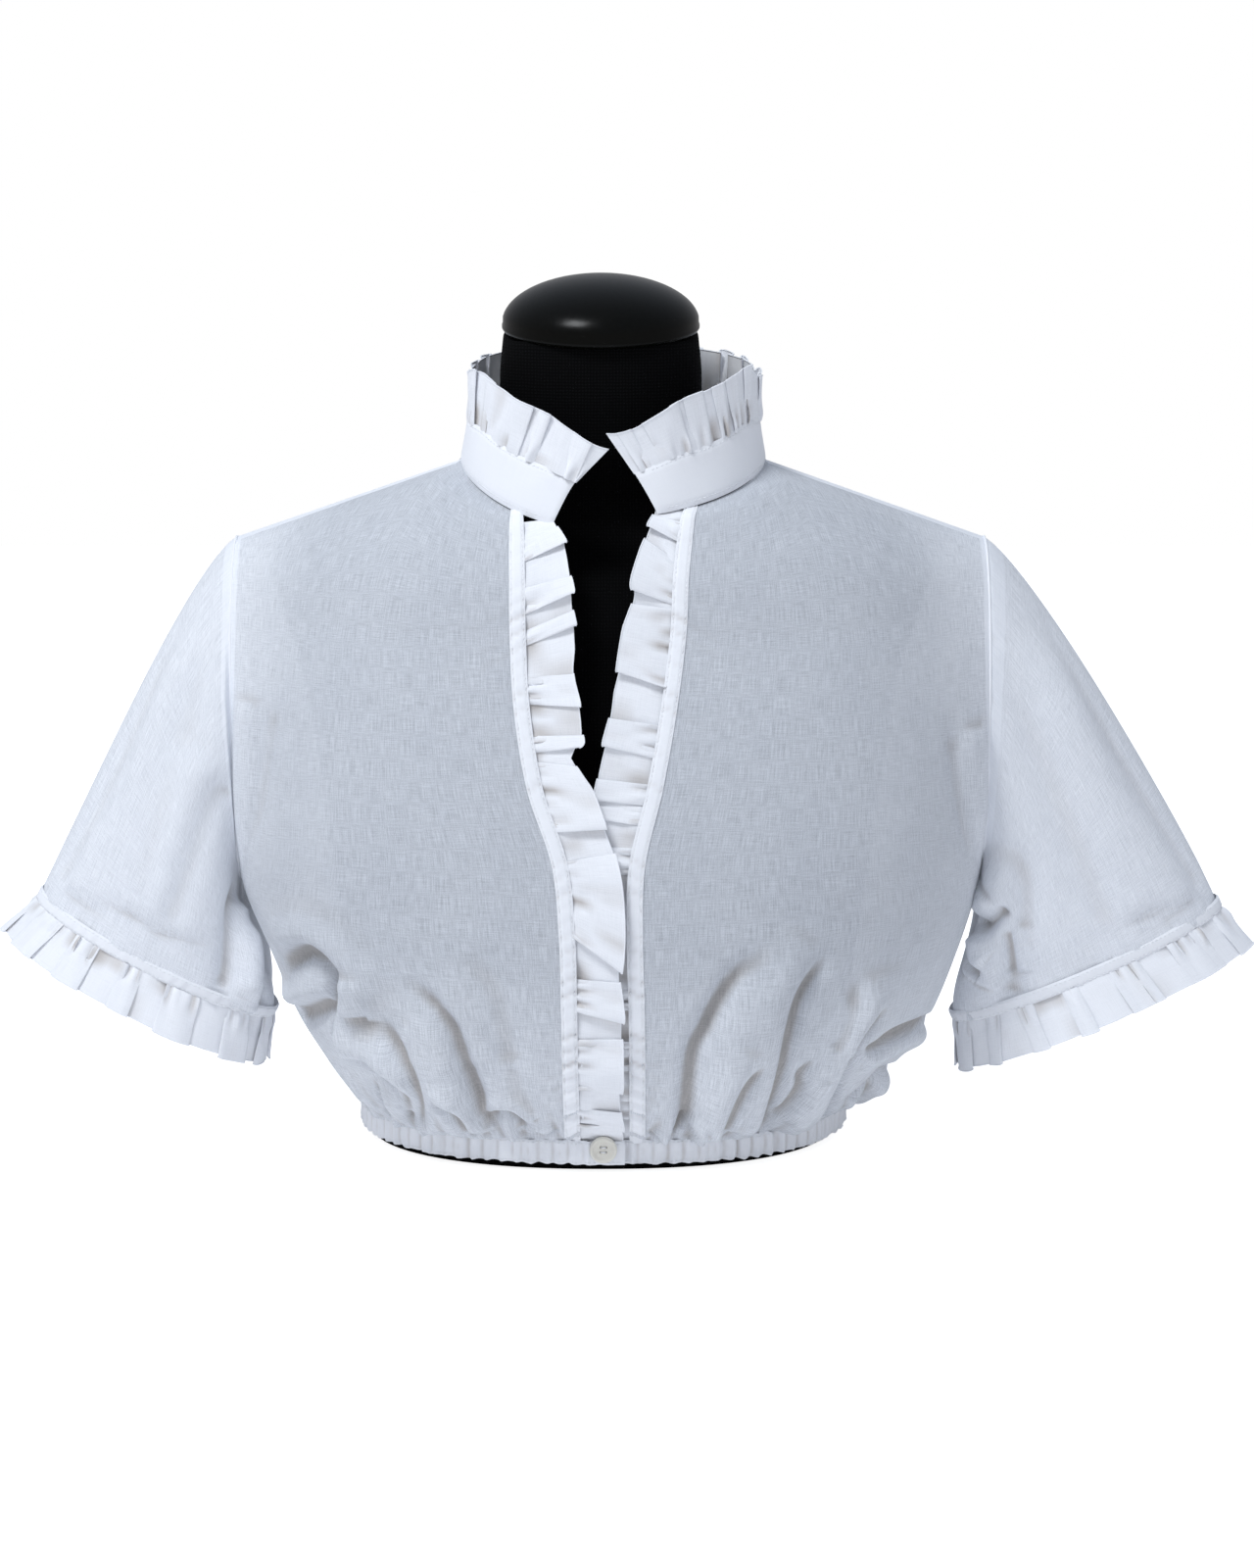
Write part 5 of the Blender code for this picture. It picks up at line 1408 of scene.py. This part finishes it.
LEFT_PLEATS = [
    Pleat(0.0330, 0.0480, 0.0330, 0.0480, 0.55, 0.0030, 0.0030),
    Pleat(0.0620, 0.0790, 0.0610, 0.0780, 0.55, 0.0030, 0.0030),
    Pleat(0.0960, 0.1110, 0.0950, 0.1100, 0.55, 0.0030, 0.0030),
    Pleat(0.1290, 0.1470, 0.1290, 0.1460, 0.55, 0.0030, 0.0030),
    Pleat(0.1660, 0.1800, 0.1680, 0.1810, 0.60, 0.0030, 0.0030),
    Pleat(0.1915, 0.1990, 0.1950, 0.2015, 0.70, 0.0025, 0.0020),
    Pleat(0.2015, 0.2120, 0.2040, 0.2150, 0.80, 0.0030, 0.0020),
    Pleat(0.2250, 0.2415, 0.2316, 0.2455, 0.95, 0.0040, 0.0030),
    Pleat(0.2597, 0.2990, 0.2684, 0.3020, 1.05, 0.0055, 0.0035),
    Pleat(0.3010, 0.3235, 0.3094, 0.3345, 1.15, 0.0035, 0.0050),
    Pleat(0.3320, 0.3420, 0.3405, 0.3455, 1.05, 0.0030, 0.0020),
]
FRILL_FOOT = 0.0165
FRILL_HEAD = {"right": (0.3410, 0.3425), "left": (0.3470, 0.3490)}
FreeEdge = namedtuple("FreeEdge", "height x")
FREE_EDGES = {
    "right": [
        FreeEdge(0.0200, 0.0128), FreeEdge(0.0500, 0.0108), FreeEdge(0.0900, 0.0118), FreeEdge(0.1150, 0.0105),
        FreeEdge(0.1400, 0.0116), FreeEdge(0.1630, 0.0106), FreeEdge(0.1780, 0.0078), FreeEdge(0.1880, 0.0040),
        FreeEdge(0.1990, 0.0000), FreeEdge(0.2100, -0.0040), FreeEdge(0.2190, -0.0100), FreeEdge(0.2270, -0.0140),
        FreeEdge(0.2340, -0.0088), FreeEdge(0.2500, -0.0096), FreeEdge(0.2660, -0.0128), FreeEdge(0.2800, -0.0120),
        FreeEdge(0.3000, -0.0136), FreeEdge(0.3150, -0.0147), FreeEdge(0.3320, -0.0180), FreeEdge(0.3430, -0.0240),
    ],
    "left": [
        FreeEdge(0.0200, -0.0090), FreeEdge(0.1400, -0.0095), FreeEdge(0.1850, -0.0070), FreeEdge(0.2070, -0.0026),
        FreeEdge(0.2185, -0.0010), FreeEdge(0.2310, 0.0020), FreeEdge(0.2470, 0.0050), FreeEdge(0.2580, 0.0064),
        FreeEdge(0.2720, 0.0100), FreeEdge(0.2900, 0.0125), FreeEdge(0.3030, 0.0165), FreeEdge(0.3150, 0.0175),
        FreeEdge(0.3300, 0.0215), FreeEdge(0.3430, 0.0262), FreeEdge(0.3500, 0.0290),
    ],
}
FRILL_LIFT = 0.0046
FRILL_TUCK = 0.0010
FRILLS_MEET = 0.2065
MEET_BLEND = 0.04
SEAM_INSIDE = 0.0012
RIGHT_FORWARD = 0.0016
LEFT_FORWARD = 0.0010
LEFT_UNDER = 0.0046
DRAW_IN = 0.0024
MEAN_LIFT = 0.45


def make_front_frill(side, pleats, seed):
    """The frill of one front edge, a millimetre behind it. Below the opening the left lies under the right."""
    sign = side_sign(side)
    edge = panels[side][0][:, 0]

    def root_point(height):
        """On the seam behind the front edge."""
        x = np.interp(height, edge[:, 2], edge[:, 0]) + sign * SEAM_INSIDE
        return np.stack([x, np.interp(height, edge[:, 2], edge[:, 1]) + FRILL_TUCK, height], -1)

    def free_point(height, lift):
        """On the free edge, drawn in where a pleat lifts it."""
        lower = np.clip((FRILLS_MEET + MEET_BLEND / 2 - height) / MEET_BLEND, 0, 1)
        forward = RIGHT_FORWARD if side == "right" else LEFT_FORWARD - LEFT_UNDER * lower
        x = table_curve(FREE_EDGES[side], "height", "x", height) - sign * DRAW_IN * (lift - MEAN_LIFT)
        return np.stack([x, np.interp(height, edge[:, 2], edge[:, 1]) - forward, height], -1)

    def way(height):
        """Straight forward."""
        return np.stack([0 * height, -np.ones_like(height), 0 * height], -1)

    ends = (FRILL_FOOT, FRILL_HEAD[side][0], FRILL_FOOT, FRILL_HEAD[side][1])
    points, out, _ = frill_surface(pleats, ends, root_point, free_point, way, FRILL_LIFT, seed)
    frill_pieces("front_frill_" + side, "front_frill_hem_" + side, "placket_frill_" + side, points, out)


make_front_frill("right", RIGHT_PLEATS, 101)
make_front_frill("left", LEFT_PLEATS, 113)

# %% [markdown]
# ## Collar
# The stand is a smooth folded strip round the neck, stitched along its lower edge. The frill rises from its
# top edge, pleated broadly at the wearer's right front and more narrowly at the left. Places along the
# collar are degrees from the middle of the back, with the wearer's right negative.

# %% Collar
STAND_OUT = 0.0007
COLLAR_SWELL = (0.0015, 0.0110, 0.0190)
SWELL_FROM = 88.0
SWELL_RUN = 32.0
SWELL_UNTIL = 150.0
SWELL_FALL_RUN = 30.0
SWELL_FALL = 0.7
STAND_LENGTH = 0.45
STAND_HEIGHT = 0.022
STAND_ROWS = 30
STAND_COLUMNS = 420
STAND_FOLD = 0.0009
STAND_DIP = 0.0003
STAND_SOFT = 0.0005
STAND_PULL = 0.00022
STAND_OVERLAP = 0.0008


def ease_in(value):
    """A smooth step from 0 to 1."""
    value = np.clip(value, 0, 1)
    return value * value * (3 - 2 * value)


def collar_points(turn, step):
    """Points of the collar at degrees of turn, on the ring that step counts to, drawn up at the front."""
    angle = np.radians(np.abs(turn))
    right, left = neck_oval("right", angle, step), neck_oval("left", angle, step)
    points = np.where((turn < 0)[..., None], right, left)
    drawn_up = ease_in((np.abs(turn) - SWELL_FROM) / SWELL_RUN)
    drawn_up = drawn_up * (1 - SWELL_FALL * ease_in((np.abs(turn) - SWELL_UNTIL) / SWELL_FALL_RUN))
    points[..., 2] += drawn_up * np.interp(step, (0, 1, 2), COLLAR_SWELL)
    return points


def collar_out(turn):
    """The level way out from the neck's middle."""
    away = collar_points(turn, 1.0 + 0 * turn) - np.array([COLLAR[0].sway, COLLAR_MIDDLE_Y, 0.0])
    return unit(away * np.array([1.0, 1.0, 0.0]))


def make_collar_stand():
    """Rows from the neckline to the frill, each between the slanted front ends, bulged by the fold inside."""
    step = np.linspace(0, 1, STAND_ROWS)
    start = -(180 - smooth_through(column(COLLAR, "right_end"), step))
    end = 180 - smooth_through(column(COLLAR, "left_end"), step)
    share = np.linspace(0, 1, STAND_COLUMNS)
    turn = start[:, None] + (end - start)[:, None] * share[None]
    points = collar_points(turn, np.broadcast_to(step[:, None], turn.shape))
    out = collar_out(turn)
    inside = np.clip(np.minimum(share, 1 - share) * STAND_LENGTH / 0.0025, 0, 1)[None]
    edge = np.minimum(step, 1 - step)[:, None] * STAND_HEIGHT
    bulge = STAND_FOLD * np.clip(edge / 0.0018, 0, 1) ** 0.5 * inside ** 0.5
    dip = STAND_DIP * np.exp(-((edge - 0.0016) / 0.0006) ** 2)
    along = share * STAND_LENGTH
    soft = STAND_SOFT * waver(along, 0.021, 7)[None] * np.sin(math.pi * step)[:, None]
    pull = STAND_PULL * waver(along, 0.0036, 8)[None] * np.exp(-((1 - step[:, None]) / 0.18) ** 2)
    points = points + out * (STAND_OUT + bulge - dip + soft + pull)[..., None]
    points[0, :, 2] -= STAND_OVERLAP
    made = surface("collar_stand_cloth", points, DOUBLED, out, layers=1.0)
    stand_for(made, "doubled_batiste", "collar_stand")
    stitch_piece("collar_stitches", [(points[row, 4:-4:2], out[row, 4:-4:2]) for row in (2, 27)])


def hidden_pleats(start, end, width, gap, seed, lift=(0.6, 1.0), under=0.35):
    """Uneven pleats between two places, for the sides, the back and the cuffs."""
    draw = np.random.default_rng(seed)
    made, at = [], start + gap
    while at + width * 1.3 < end - gap * 0.5:
        size = width * draw.uniform(0.45, 1.5)
        shift = draw.uniform(-0.25, 0.25) * width
        turned = draw.uniform(0.6, 1.0) * under * size
        rise = draw.uniform(*lift)
        made.append(Pleat(at, at + size, at + shift, at + size + shift, rise, turned, turned * 0.8))
        at += size + gap * draw.uniform(0.5, 1.9)
    return made

COLLAR_PLEATS = (
    [
        Pleat(-165.0, -159.5, -172.0, -164.5, 0.35, 0.6, 1.0),
        Pleat(-148.0, -142.5, -156.0, -151.0, 0.90, 2.2, 1.6),
        Pleat(-140.5, -116.0, -148.5, -122.5, 0.80, 2.5, 4.0),
        Pleat(-109.0, -95.0, -113.0, -98.0, 0.90, 3.0, 3.0),
    ]
    + hidden_pleats(-93.0, 106.0, 8.0, 6.5, 3)
    + [
        Pleat(113.5, 117.0, 114.5, 119.5, 1.05, 1.4, 1.2),
        Pleat(120.0, 126.0, 125.0, 132.0, 0.75, 2.0, 1.8),
        Pleat(128.5, 133.0, 134.5, 140.0, 0.90, 1.8, 1.6),
        Pleat(138.0, 147.0, 144.0, 153.0, 0.70, 2.0, 2.6),
        Pleat(149.0, 160.5, 155.5, 169.5, 0.95, 2.2, 3.4),
        Pleat(165.0, 169.5, 173.5, 179.0, 0.45, 1.2, 0.8),
    ]
)
COLLAR_FRILL_LIFT = 0.0036
FRILL_ROOT = 0.97
FRILL_TOP = 1.97
TOP_SPREAD = 0.05
TOP_MEAN = 0.4
FRILL_OUT = 0.0012
LAP = 0.0021
LAP_FROM = 150
LAP_RUN = 20


def ring_ends(ring):
    """Where a ring of the collar starts and ends, in degrees of turn."""
    return -(180 - ring.right_end), 180 - ring.left_end


def make_collar_frill():
    """The frill on the stand's top edge, a little outside it, its right end in front of its left."""

    def lap(turn):
        """Forward, over the right end."""
        return LAP * np.clip((-turn - LAP_FROM) / LAP_RUN, 0, 1)[:, None] * np.array([0.0, -1.0, 0.0])

    def root_point(turn):
        """On the seam, a hair inside the stand's cloth."""
        return collar_points(turn, FRILL_ROOT + 0 * turn) + collar_out(turn) * (STAND_OUT - 0.0001) + lap(turn)

    def free_point(turn, lift):
        """On the free edge, higher where a pleat lifts it."""
        step = FRILL_TOP + TOP_SPREAD * (lift - TOP_MEAN)
        return collar_points(turn, step) + collar_out(turn) * FRILL_OUT + lap(turn)

    ends = ring_ends(COLLAR[1]) + ring_ends(COLLAR[2])
    points, out, _ = frill_surface(
        COLLAR_PLEATS, ends, root_point, free_point, collar_out, COLLAR_FRILL_LIFT, 131
    )
    frill_pieces("collar_frill_cloth", "collar_frill_hem", "collar_frill", points, out)


make_collar_stand()
make_collar_frill()

# %% [markdown]
# ## Cuffs
# Each sleeve ends in a narrow stitched band with a frill below it. The frill's pleats go all round, at
# places given as degrees round the cuff's oval from its outer end by the front.

# %% Cuffs
CUFF_BAND_HEIGHT = 0.0070
CUFF_FRILL_LENGTH = 0.0240
CUFF_FRILL_FLARE = 0.0080
CUFF_FRILL_LIFT = 0.0040
CUFF_OUT = 0.0012
CUFF_INSET = 0.0006
CUFF_PILLOW = 0.0010
CUFF_DIP = 0.0003
CUFF_PUCKER = 0.00025
CUFF_COLUMNS = 420
CUFF_ROWS = 12
CUFF_FRILL_SPREAD = 0.0012
CUFF_CLOSE = 0.01


def cuff_out(side, turn):
    """The way out from the cuff's oval at degrees of turn."""
    angle = np.radians(turn)
    return unit(cuff_oval(side, angle, 0.0, CUFF_STEP) - cuff_oval(side, angle, 0.0, 0.0))


def make_cuff_band(side, seed):
    """A pillow-shaped band on the sleeve's end, with two rows of stitches."""
    angle = np.linspace(0, 2 * math.pi, CUFF_COLUMNS, endpoint=False)
    around = run_length(cuff_oval(side, angle, 0.0, 0.0))
    rows = []
    for share in np.linspace(0, 1, CUFF_ROWS):
        pillow, dip = stitched_pillow(share, 6, CUFF_DIP)
        pucker = CUFF_PUCKER * waver(around + 0.002 * share, 0.0034, seed) * pillow
        push = CUFF_OUT - CUFF_INSET + CUFF_PILLOW * pillow - dip + pucker
        rows.append(cuff_oval(side, angle, -CUFF_BAND_HEIGHT * (1 - share), push))
    grid = np.stack(rows)
    out = cuff_out(side, np.degrees(angle))
    made = surface("cuff_band_cloth_" + side, grid, DOUBLED, out[None] + 0 * grid, wrap=True, layers=1.0)
    stand_for(made, "doubled_batiste", "cuff_band_" + side)
    ways = np.concatenate([out, out[:1]])
    lines = [(np.concatenate([grid[row], grid[row, :1]]), ways) for row in (2, 9)]
    stitch_piece("cuff_stitches_" + side, lines)


def make_cuff_frill(side, seed):
    """A frill from under the band's lower edge, whose two ends are drawn together."""

    def root_point(turn):
        """On the seam, under the band."""
        return cuff_oval(side, np.radians(turn), -CUFF_INSET, CUFF_INSET)

    def free_point(turn, lift):
        """On the free edge, lower where a pleat lifts it."""
        down = CUFF_FRILL_LENGTH + CUFF_FRILL_SPREAD * (lift - 0.5)
        return cuff_oval(side, np.radians(turn), down, CUFF_FRILL_FLARE)

    def way(turn):
        """Out from the cuff."""
        return cuff_out(side, turn)

    pleats = hidden_pleats(0.0, 360.0, 13.0, 8.0, seed + 1, lift=(0.2, 1.0), under=0.30)
    ends = (0.0, 360.0, 0.0, 360.0)
    points, out, cloth = frill_surface(pleats, ends, root_point, free_point, way, CUFF_FRILL_LIFT, seed + 2)
    gap = points[:, :1] - points[:, -1:]
    points += gap * np.clip(1 - (cloth[-1] - cloth) / CUFF_CLOSE, 0, 1)[None, :, None]
    frill_pieces("cuff_frill_cloth_" + side, "cuff_frill_hem_" + side, "cuff_frill_" + side, points, out)


for side, seed in (("right", 141), ("left", 157)):
    make_cuff_band(side, seed)
    make_cuff_frill(side, seed)

# %% [markdown]
# ## Hem casing
# The casing is a folded strip with elastic inside. Its right end is a tab that steps out over the left end
# and carries the button. Fine uneven ridges cross it, sharper at both edges than in the middle, and its
# lower edge waves a little up and down.

# %% Hem casing
TAB_STAND = 0.0030
TAB_END_X = 0.0125
UNDERLAP_END_X = -0.0050
TAB_LENGTH = 0.022
TAB_SLOPE = 0.012
HEM_SQUASH = 1.6
CASING_COLUMNS = 1500
CASING_ROWS = 18
CASING_RISE = HEM_TOP + 0.0010 - HEM_BOTTOM
CASING_BASE = 0.0002
CASING_PILLOW = 0.0009
RIDGE_SIZE = 0.0017
FINE_RIDGE = 0.0005
WOBBLE = 0.0007
CALM_RUN = 0.026
CALM_LEAST = 0.12


def hem_line(count):
    """From the tab's end round the back to the left end under it: points, the way out, and the run."""
    u = np.linspace(0, 1, 160)
    pieces = [
        section_curve("right", "front", BODY[0], u), section_curve("right", "back", BODY[0], u[::-1]),
        section_curve("left", "back", BODY[0], u), section_curve("left", "front", BODY[0], u[::-1]),
    ]
    loop = np.concatenate([pieces[0]] + [piece[1:] for piece in pieces[1:]])
    tab_x = np.linspace(TAB_END_X, loop[0, 0], 12)[:-1]
    lap_x = np.linspace(loop[-1, 0], UNDERLAP_END_X, 12)[1:]
    ends = [np.stack([x, 0 * x + loop[0, 1], 0 * x + loop[0, 2]], -1) for x in (tab_x, lap_x)]
    path = np.concatenate([ends[0], loop, ends[1]])
    run = run_length(path)
    at = np.linspace(0, run[-1], count)
    line = np.stack([np.interp(at, run, path[:, k]) for k in range(3)], -1)
    out = unit(line * np.array([1.0, HEM_SQUASH, 0.0]))
    return line, out, at


def make_casing():
    """Rows from the casing's lower edge to its seam, each pushed out by the elastic's bulge and the gathers."""
    line, out, at = hem_line(CASING_COLUMNS)
    calm = np.clip(np.minimum(at, at[-1] - at) / CALM_RUN, CALM_LEAST, 1)
    step_out = np.clip(1 - (at - TAB_LENGTH) / TAB_SLOPE, 0, 1) * TAB_STAND
    rows = []
    wobble = WOBBLE * waver(at, 0.0041, 171) * calm
    for share in np.linspace(0, 1, CASING_ROWS):
        pillow = np.sqrt(1 - abs(2 * share - 1) ** 4)
        ridge = waver(at + 0.0006 * math.sin(3 * share), 0.0038, 163) * (0.55 + 0.45 * abs(2 * share - 1))
        ridge = RIDGE_SIZE * ridge + FINE_RIDGE * waver(at, 0.0021, 167)
        push = CASING_BASE + CASING_PILLOW * pillow + ridge * calm + step_out
        row = line + out * push[:, None]
        row[:, 2] = HEM_BOTTOM + CASING_RISE * share + wobble * (1 - share) + 0.5 * wobble * share
        rows.append(row)
    grid = np.stack(rows)
    made = surface("casing_cloth", grid, DOUBLED, out[None] + 0 * grid, layers=1.0)
    stand_for(made, "doubled_batiste", "hem_casing")
    stitch_piece("casing_stitches", [(grid[row, 4:-4], out[4:-4]) for row in (2, 15)])


make_casing()

# %% [markdown]
# ## Button
# A cream shirt button: a raised rim, a dished middle and four holes, sewn with two bars of thread. It is a
# disc of rings and spokes whose height is a function of the distance from the centre, less a deep dip round
# each hole.

# %% Button
BUTTON_X = 0.0015
BUTTON_HEIGHT = 0.0140
BUTTON_RADIUS = 0.0072
BUTTON_THICKNESS = 0.0030
HOLE_SPREAD = 0.0013
HOLE_RADIUS = 0.00065
HOLE_DEPTH = 0.0011
BUTTON_KNOTS = [0.0, 0.45, 0.62, 0.72, 0.80, 0.86, 0.92, 0.97, 1.0]
BUTTON_LEVELS = [0.56, 0.56, 0.60, 0.74, 0.95, 1.0, 0.96, 0.82, 0.55]
BUTTON_BACK = [(1.0, 0.30), (0.97, 0.10), (0.90, 0.0), (0.0, 0.0)]
BUTTON_Y = -(BODY[0].front_depth + TAB_STAND + 0.0014)
BUTTON_THREAD = 0.00033


def make_button():
    """Front: a profile less a smooth well at each hole. Back: flat. Rows run from the front's middle out."""
    share = np.concatenate([np.linspace(0, 0.60, 44), np.linspace(0.60, 1.0, 26)[1:]])
    level = np.interp(share, BUTTON_KNOTS, BUTTON_LEVELS) * BUTTON_THICKNESS
    turn = np.linspace(0, 2 * math.pi, 96, endpoint=False)
    x = share[:, None] * BUTTON_RADIUS * np.cos(turn)
    z = share[:, None] * BUTTON_RADIUS * np.sin(turn)
    front = np.broadcast_to(level[:, None], x.shape).copy()
    for across in (-HOLE_SPREAD, HOLE_SPREAD):
        for up in (-HOLE_SPREAD, HOLE_SPREAD):
            gap = np.hypot(x - across, z - up)
            front -= HOLE_DEPTH * np.clip((HOLE_RADIUS * 1.15 - gap) / (HOLE_RADIUS * 0.3), 0, 1)
    x = np.concatenate([x] + [out * BUTTON_RADIUS * np.cos(turn)[None] for out, _ in BUTTON_BACK])
    z = np.concatenate([z] + [out * BUTTON_RADIUS * np.sin(turn)[None] for out, _ in BUTTON_BACK])
    y = np.concatenate([front] + [np.full((1, len(turn)), high * BUTTON_THICKNESS) for _, high in BUTTON_BACK])
    points = np.stack([BUTTON_X + x, BUTTON_Y - y, BUTTON_HEIGHT + z], -1)
    middle = np.array([BUTTON_X, BUTTON_Y - 0.0008, BUTTON_HEIGHT])
    made = surface("button_shell", points, CREAM, points - middle, wrap=True, merge=True)
    stand_for(made, "button_plastic", "button")
    for place, up in enumerate((-HOLE_SPREAD, HOLE_SPREAD)):
        bend = np.linspace(0, math.pi, 14)
        line = np.stack([
            BUTTON_X - HOLE_SPREAD * np.cos(bend), BUTTON_Y - 0.0011 - 0.0010 * np.sin(bend) ** 0.5,
            BUTTON_HEIGHT + up + 0 * bend,
        ], -1)
        away = np.broadcast_to([0.0, -1.0, 0.0], line.shape)
        tube_piece("button_thread_%d" % place, line, away, BUTTON_THREAD, THREAD)


make_button()

# %% [markdown]
# ## What the cloth was cut from
# Every sheet is listed with the size it was cut to before it was gathered or sewn, and the share of that
# area which its surface covers is printed. The table gives width and length in metres, and the area where
# the cut isn't a rectangle.

# %% What the cloth was cut from
Cut = namedtuple("Cut", "piece width length area held rests_on")
CUTS = [
    Cut("front_cloth_right", 0.30, 0.40, 0.090, "gathered", "form_cover"),
    Cut("front_cloth_left", 0.30, 0.40, 0.090, "gathered", "form_cover"),
    Cut("back_cloth", 0.54, 0.42, 0.190, "gathered", "form_cover"),
    Cut("sleeve_cloth_right", 0.50, 0.25, 0.055, "hung", "armhole_seam_right"),
    Cut("sleeve_cloth_left", 0.50, 0.25, 0.055, "hung", "armhole_seam_left"),
    Cut("band_right", 0.34, 0.0100, None, "stretched", "front_cloth_right"),
    Cut("band_left", 0.34, 0.0100, None, "stretched", "front_cloth_left"),
    Cut("front_frill_right", 0.50, 0.026, None, "gathered", "band_right"),
    Cut("front_frill_left", 0.50, 0.026, None, "gathered", "band_left"),
    Cut("collar_stand_cloth", 0.45, 0.023, None, "stretched", "back_cloth"),
    Cut("collar_frill_cloth", 0.70, 0.026, None, "gathered", "collar_stand_cloth"),
    Cut("cuff_band_cloth_right", 0.36, 0.010, None, "stretched", "sleeve_cloth_right"),
    Cut("cuff_band_cloth_left", 0.36, 0.010, None, "stretched", "sleeve_cloth_left"),
    Cut("cuff_frill_cloth_right", 0.58, 0.026, None, "gathered", "cuff_band_cloth_right"),
    Cut("cuff_frill_cloth_left", 0.58, 0.026, None, "gathered", "cuff_band_cloth_left"),
    Cut("casing_cloth", 1.00, 0.014, None, "gathered", "form_cover"),
]
for cut in CUTS:
    flat_area = cut.area or cut.width * cut.length
    print(cut.piece, "area share", round(cloth_area[cut.piece] / flat_area, 2))
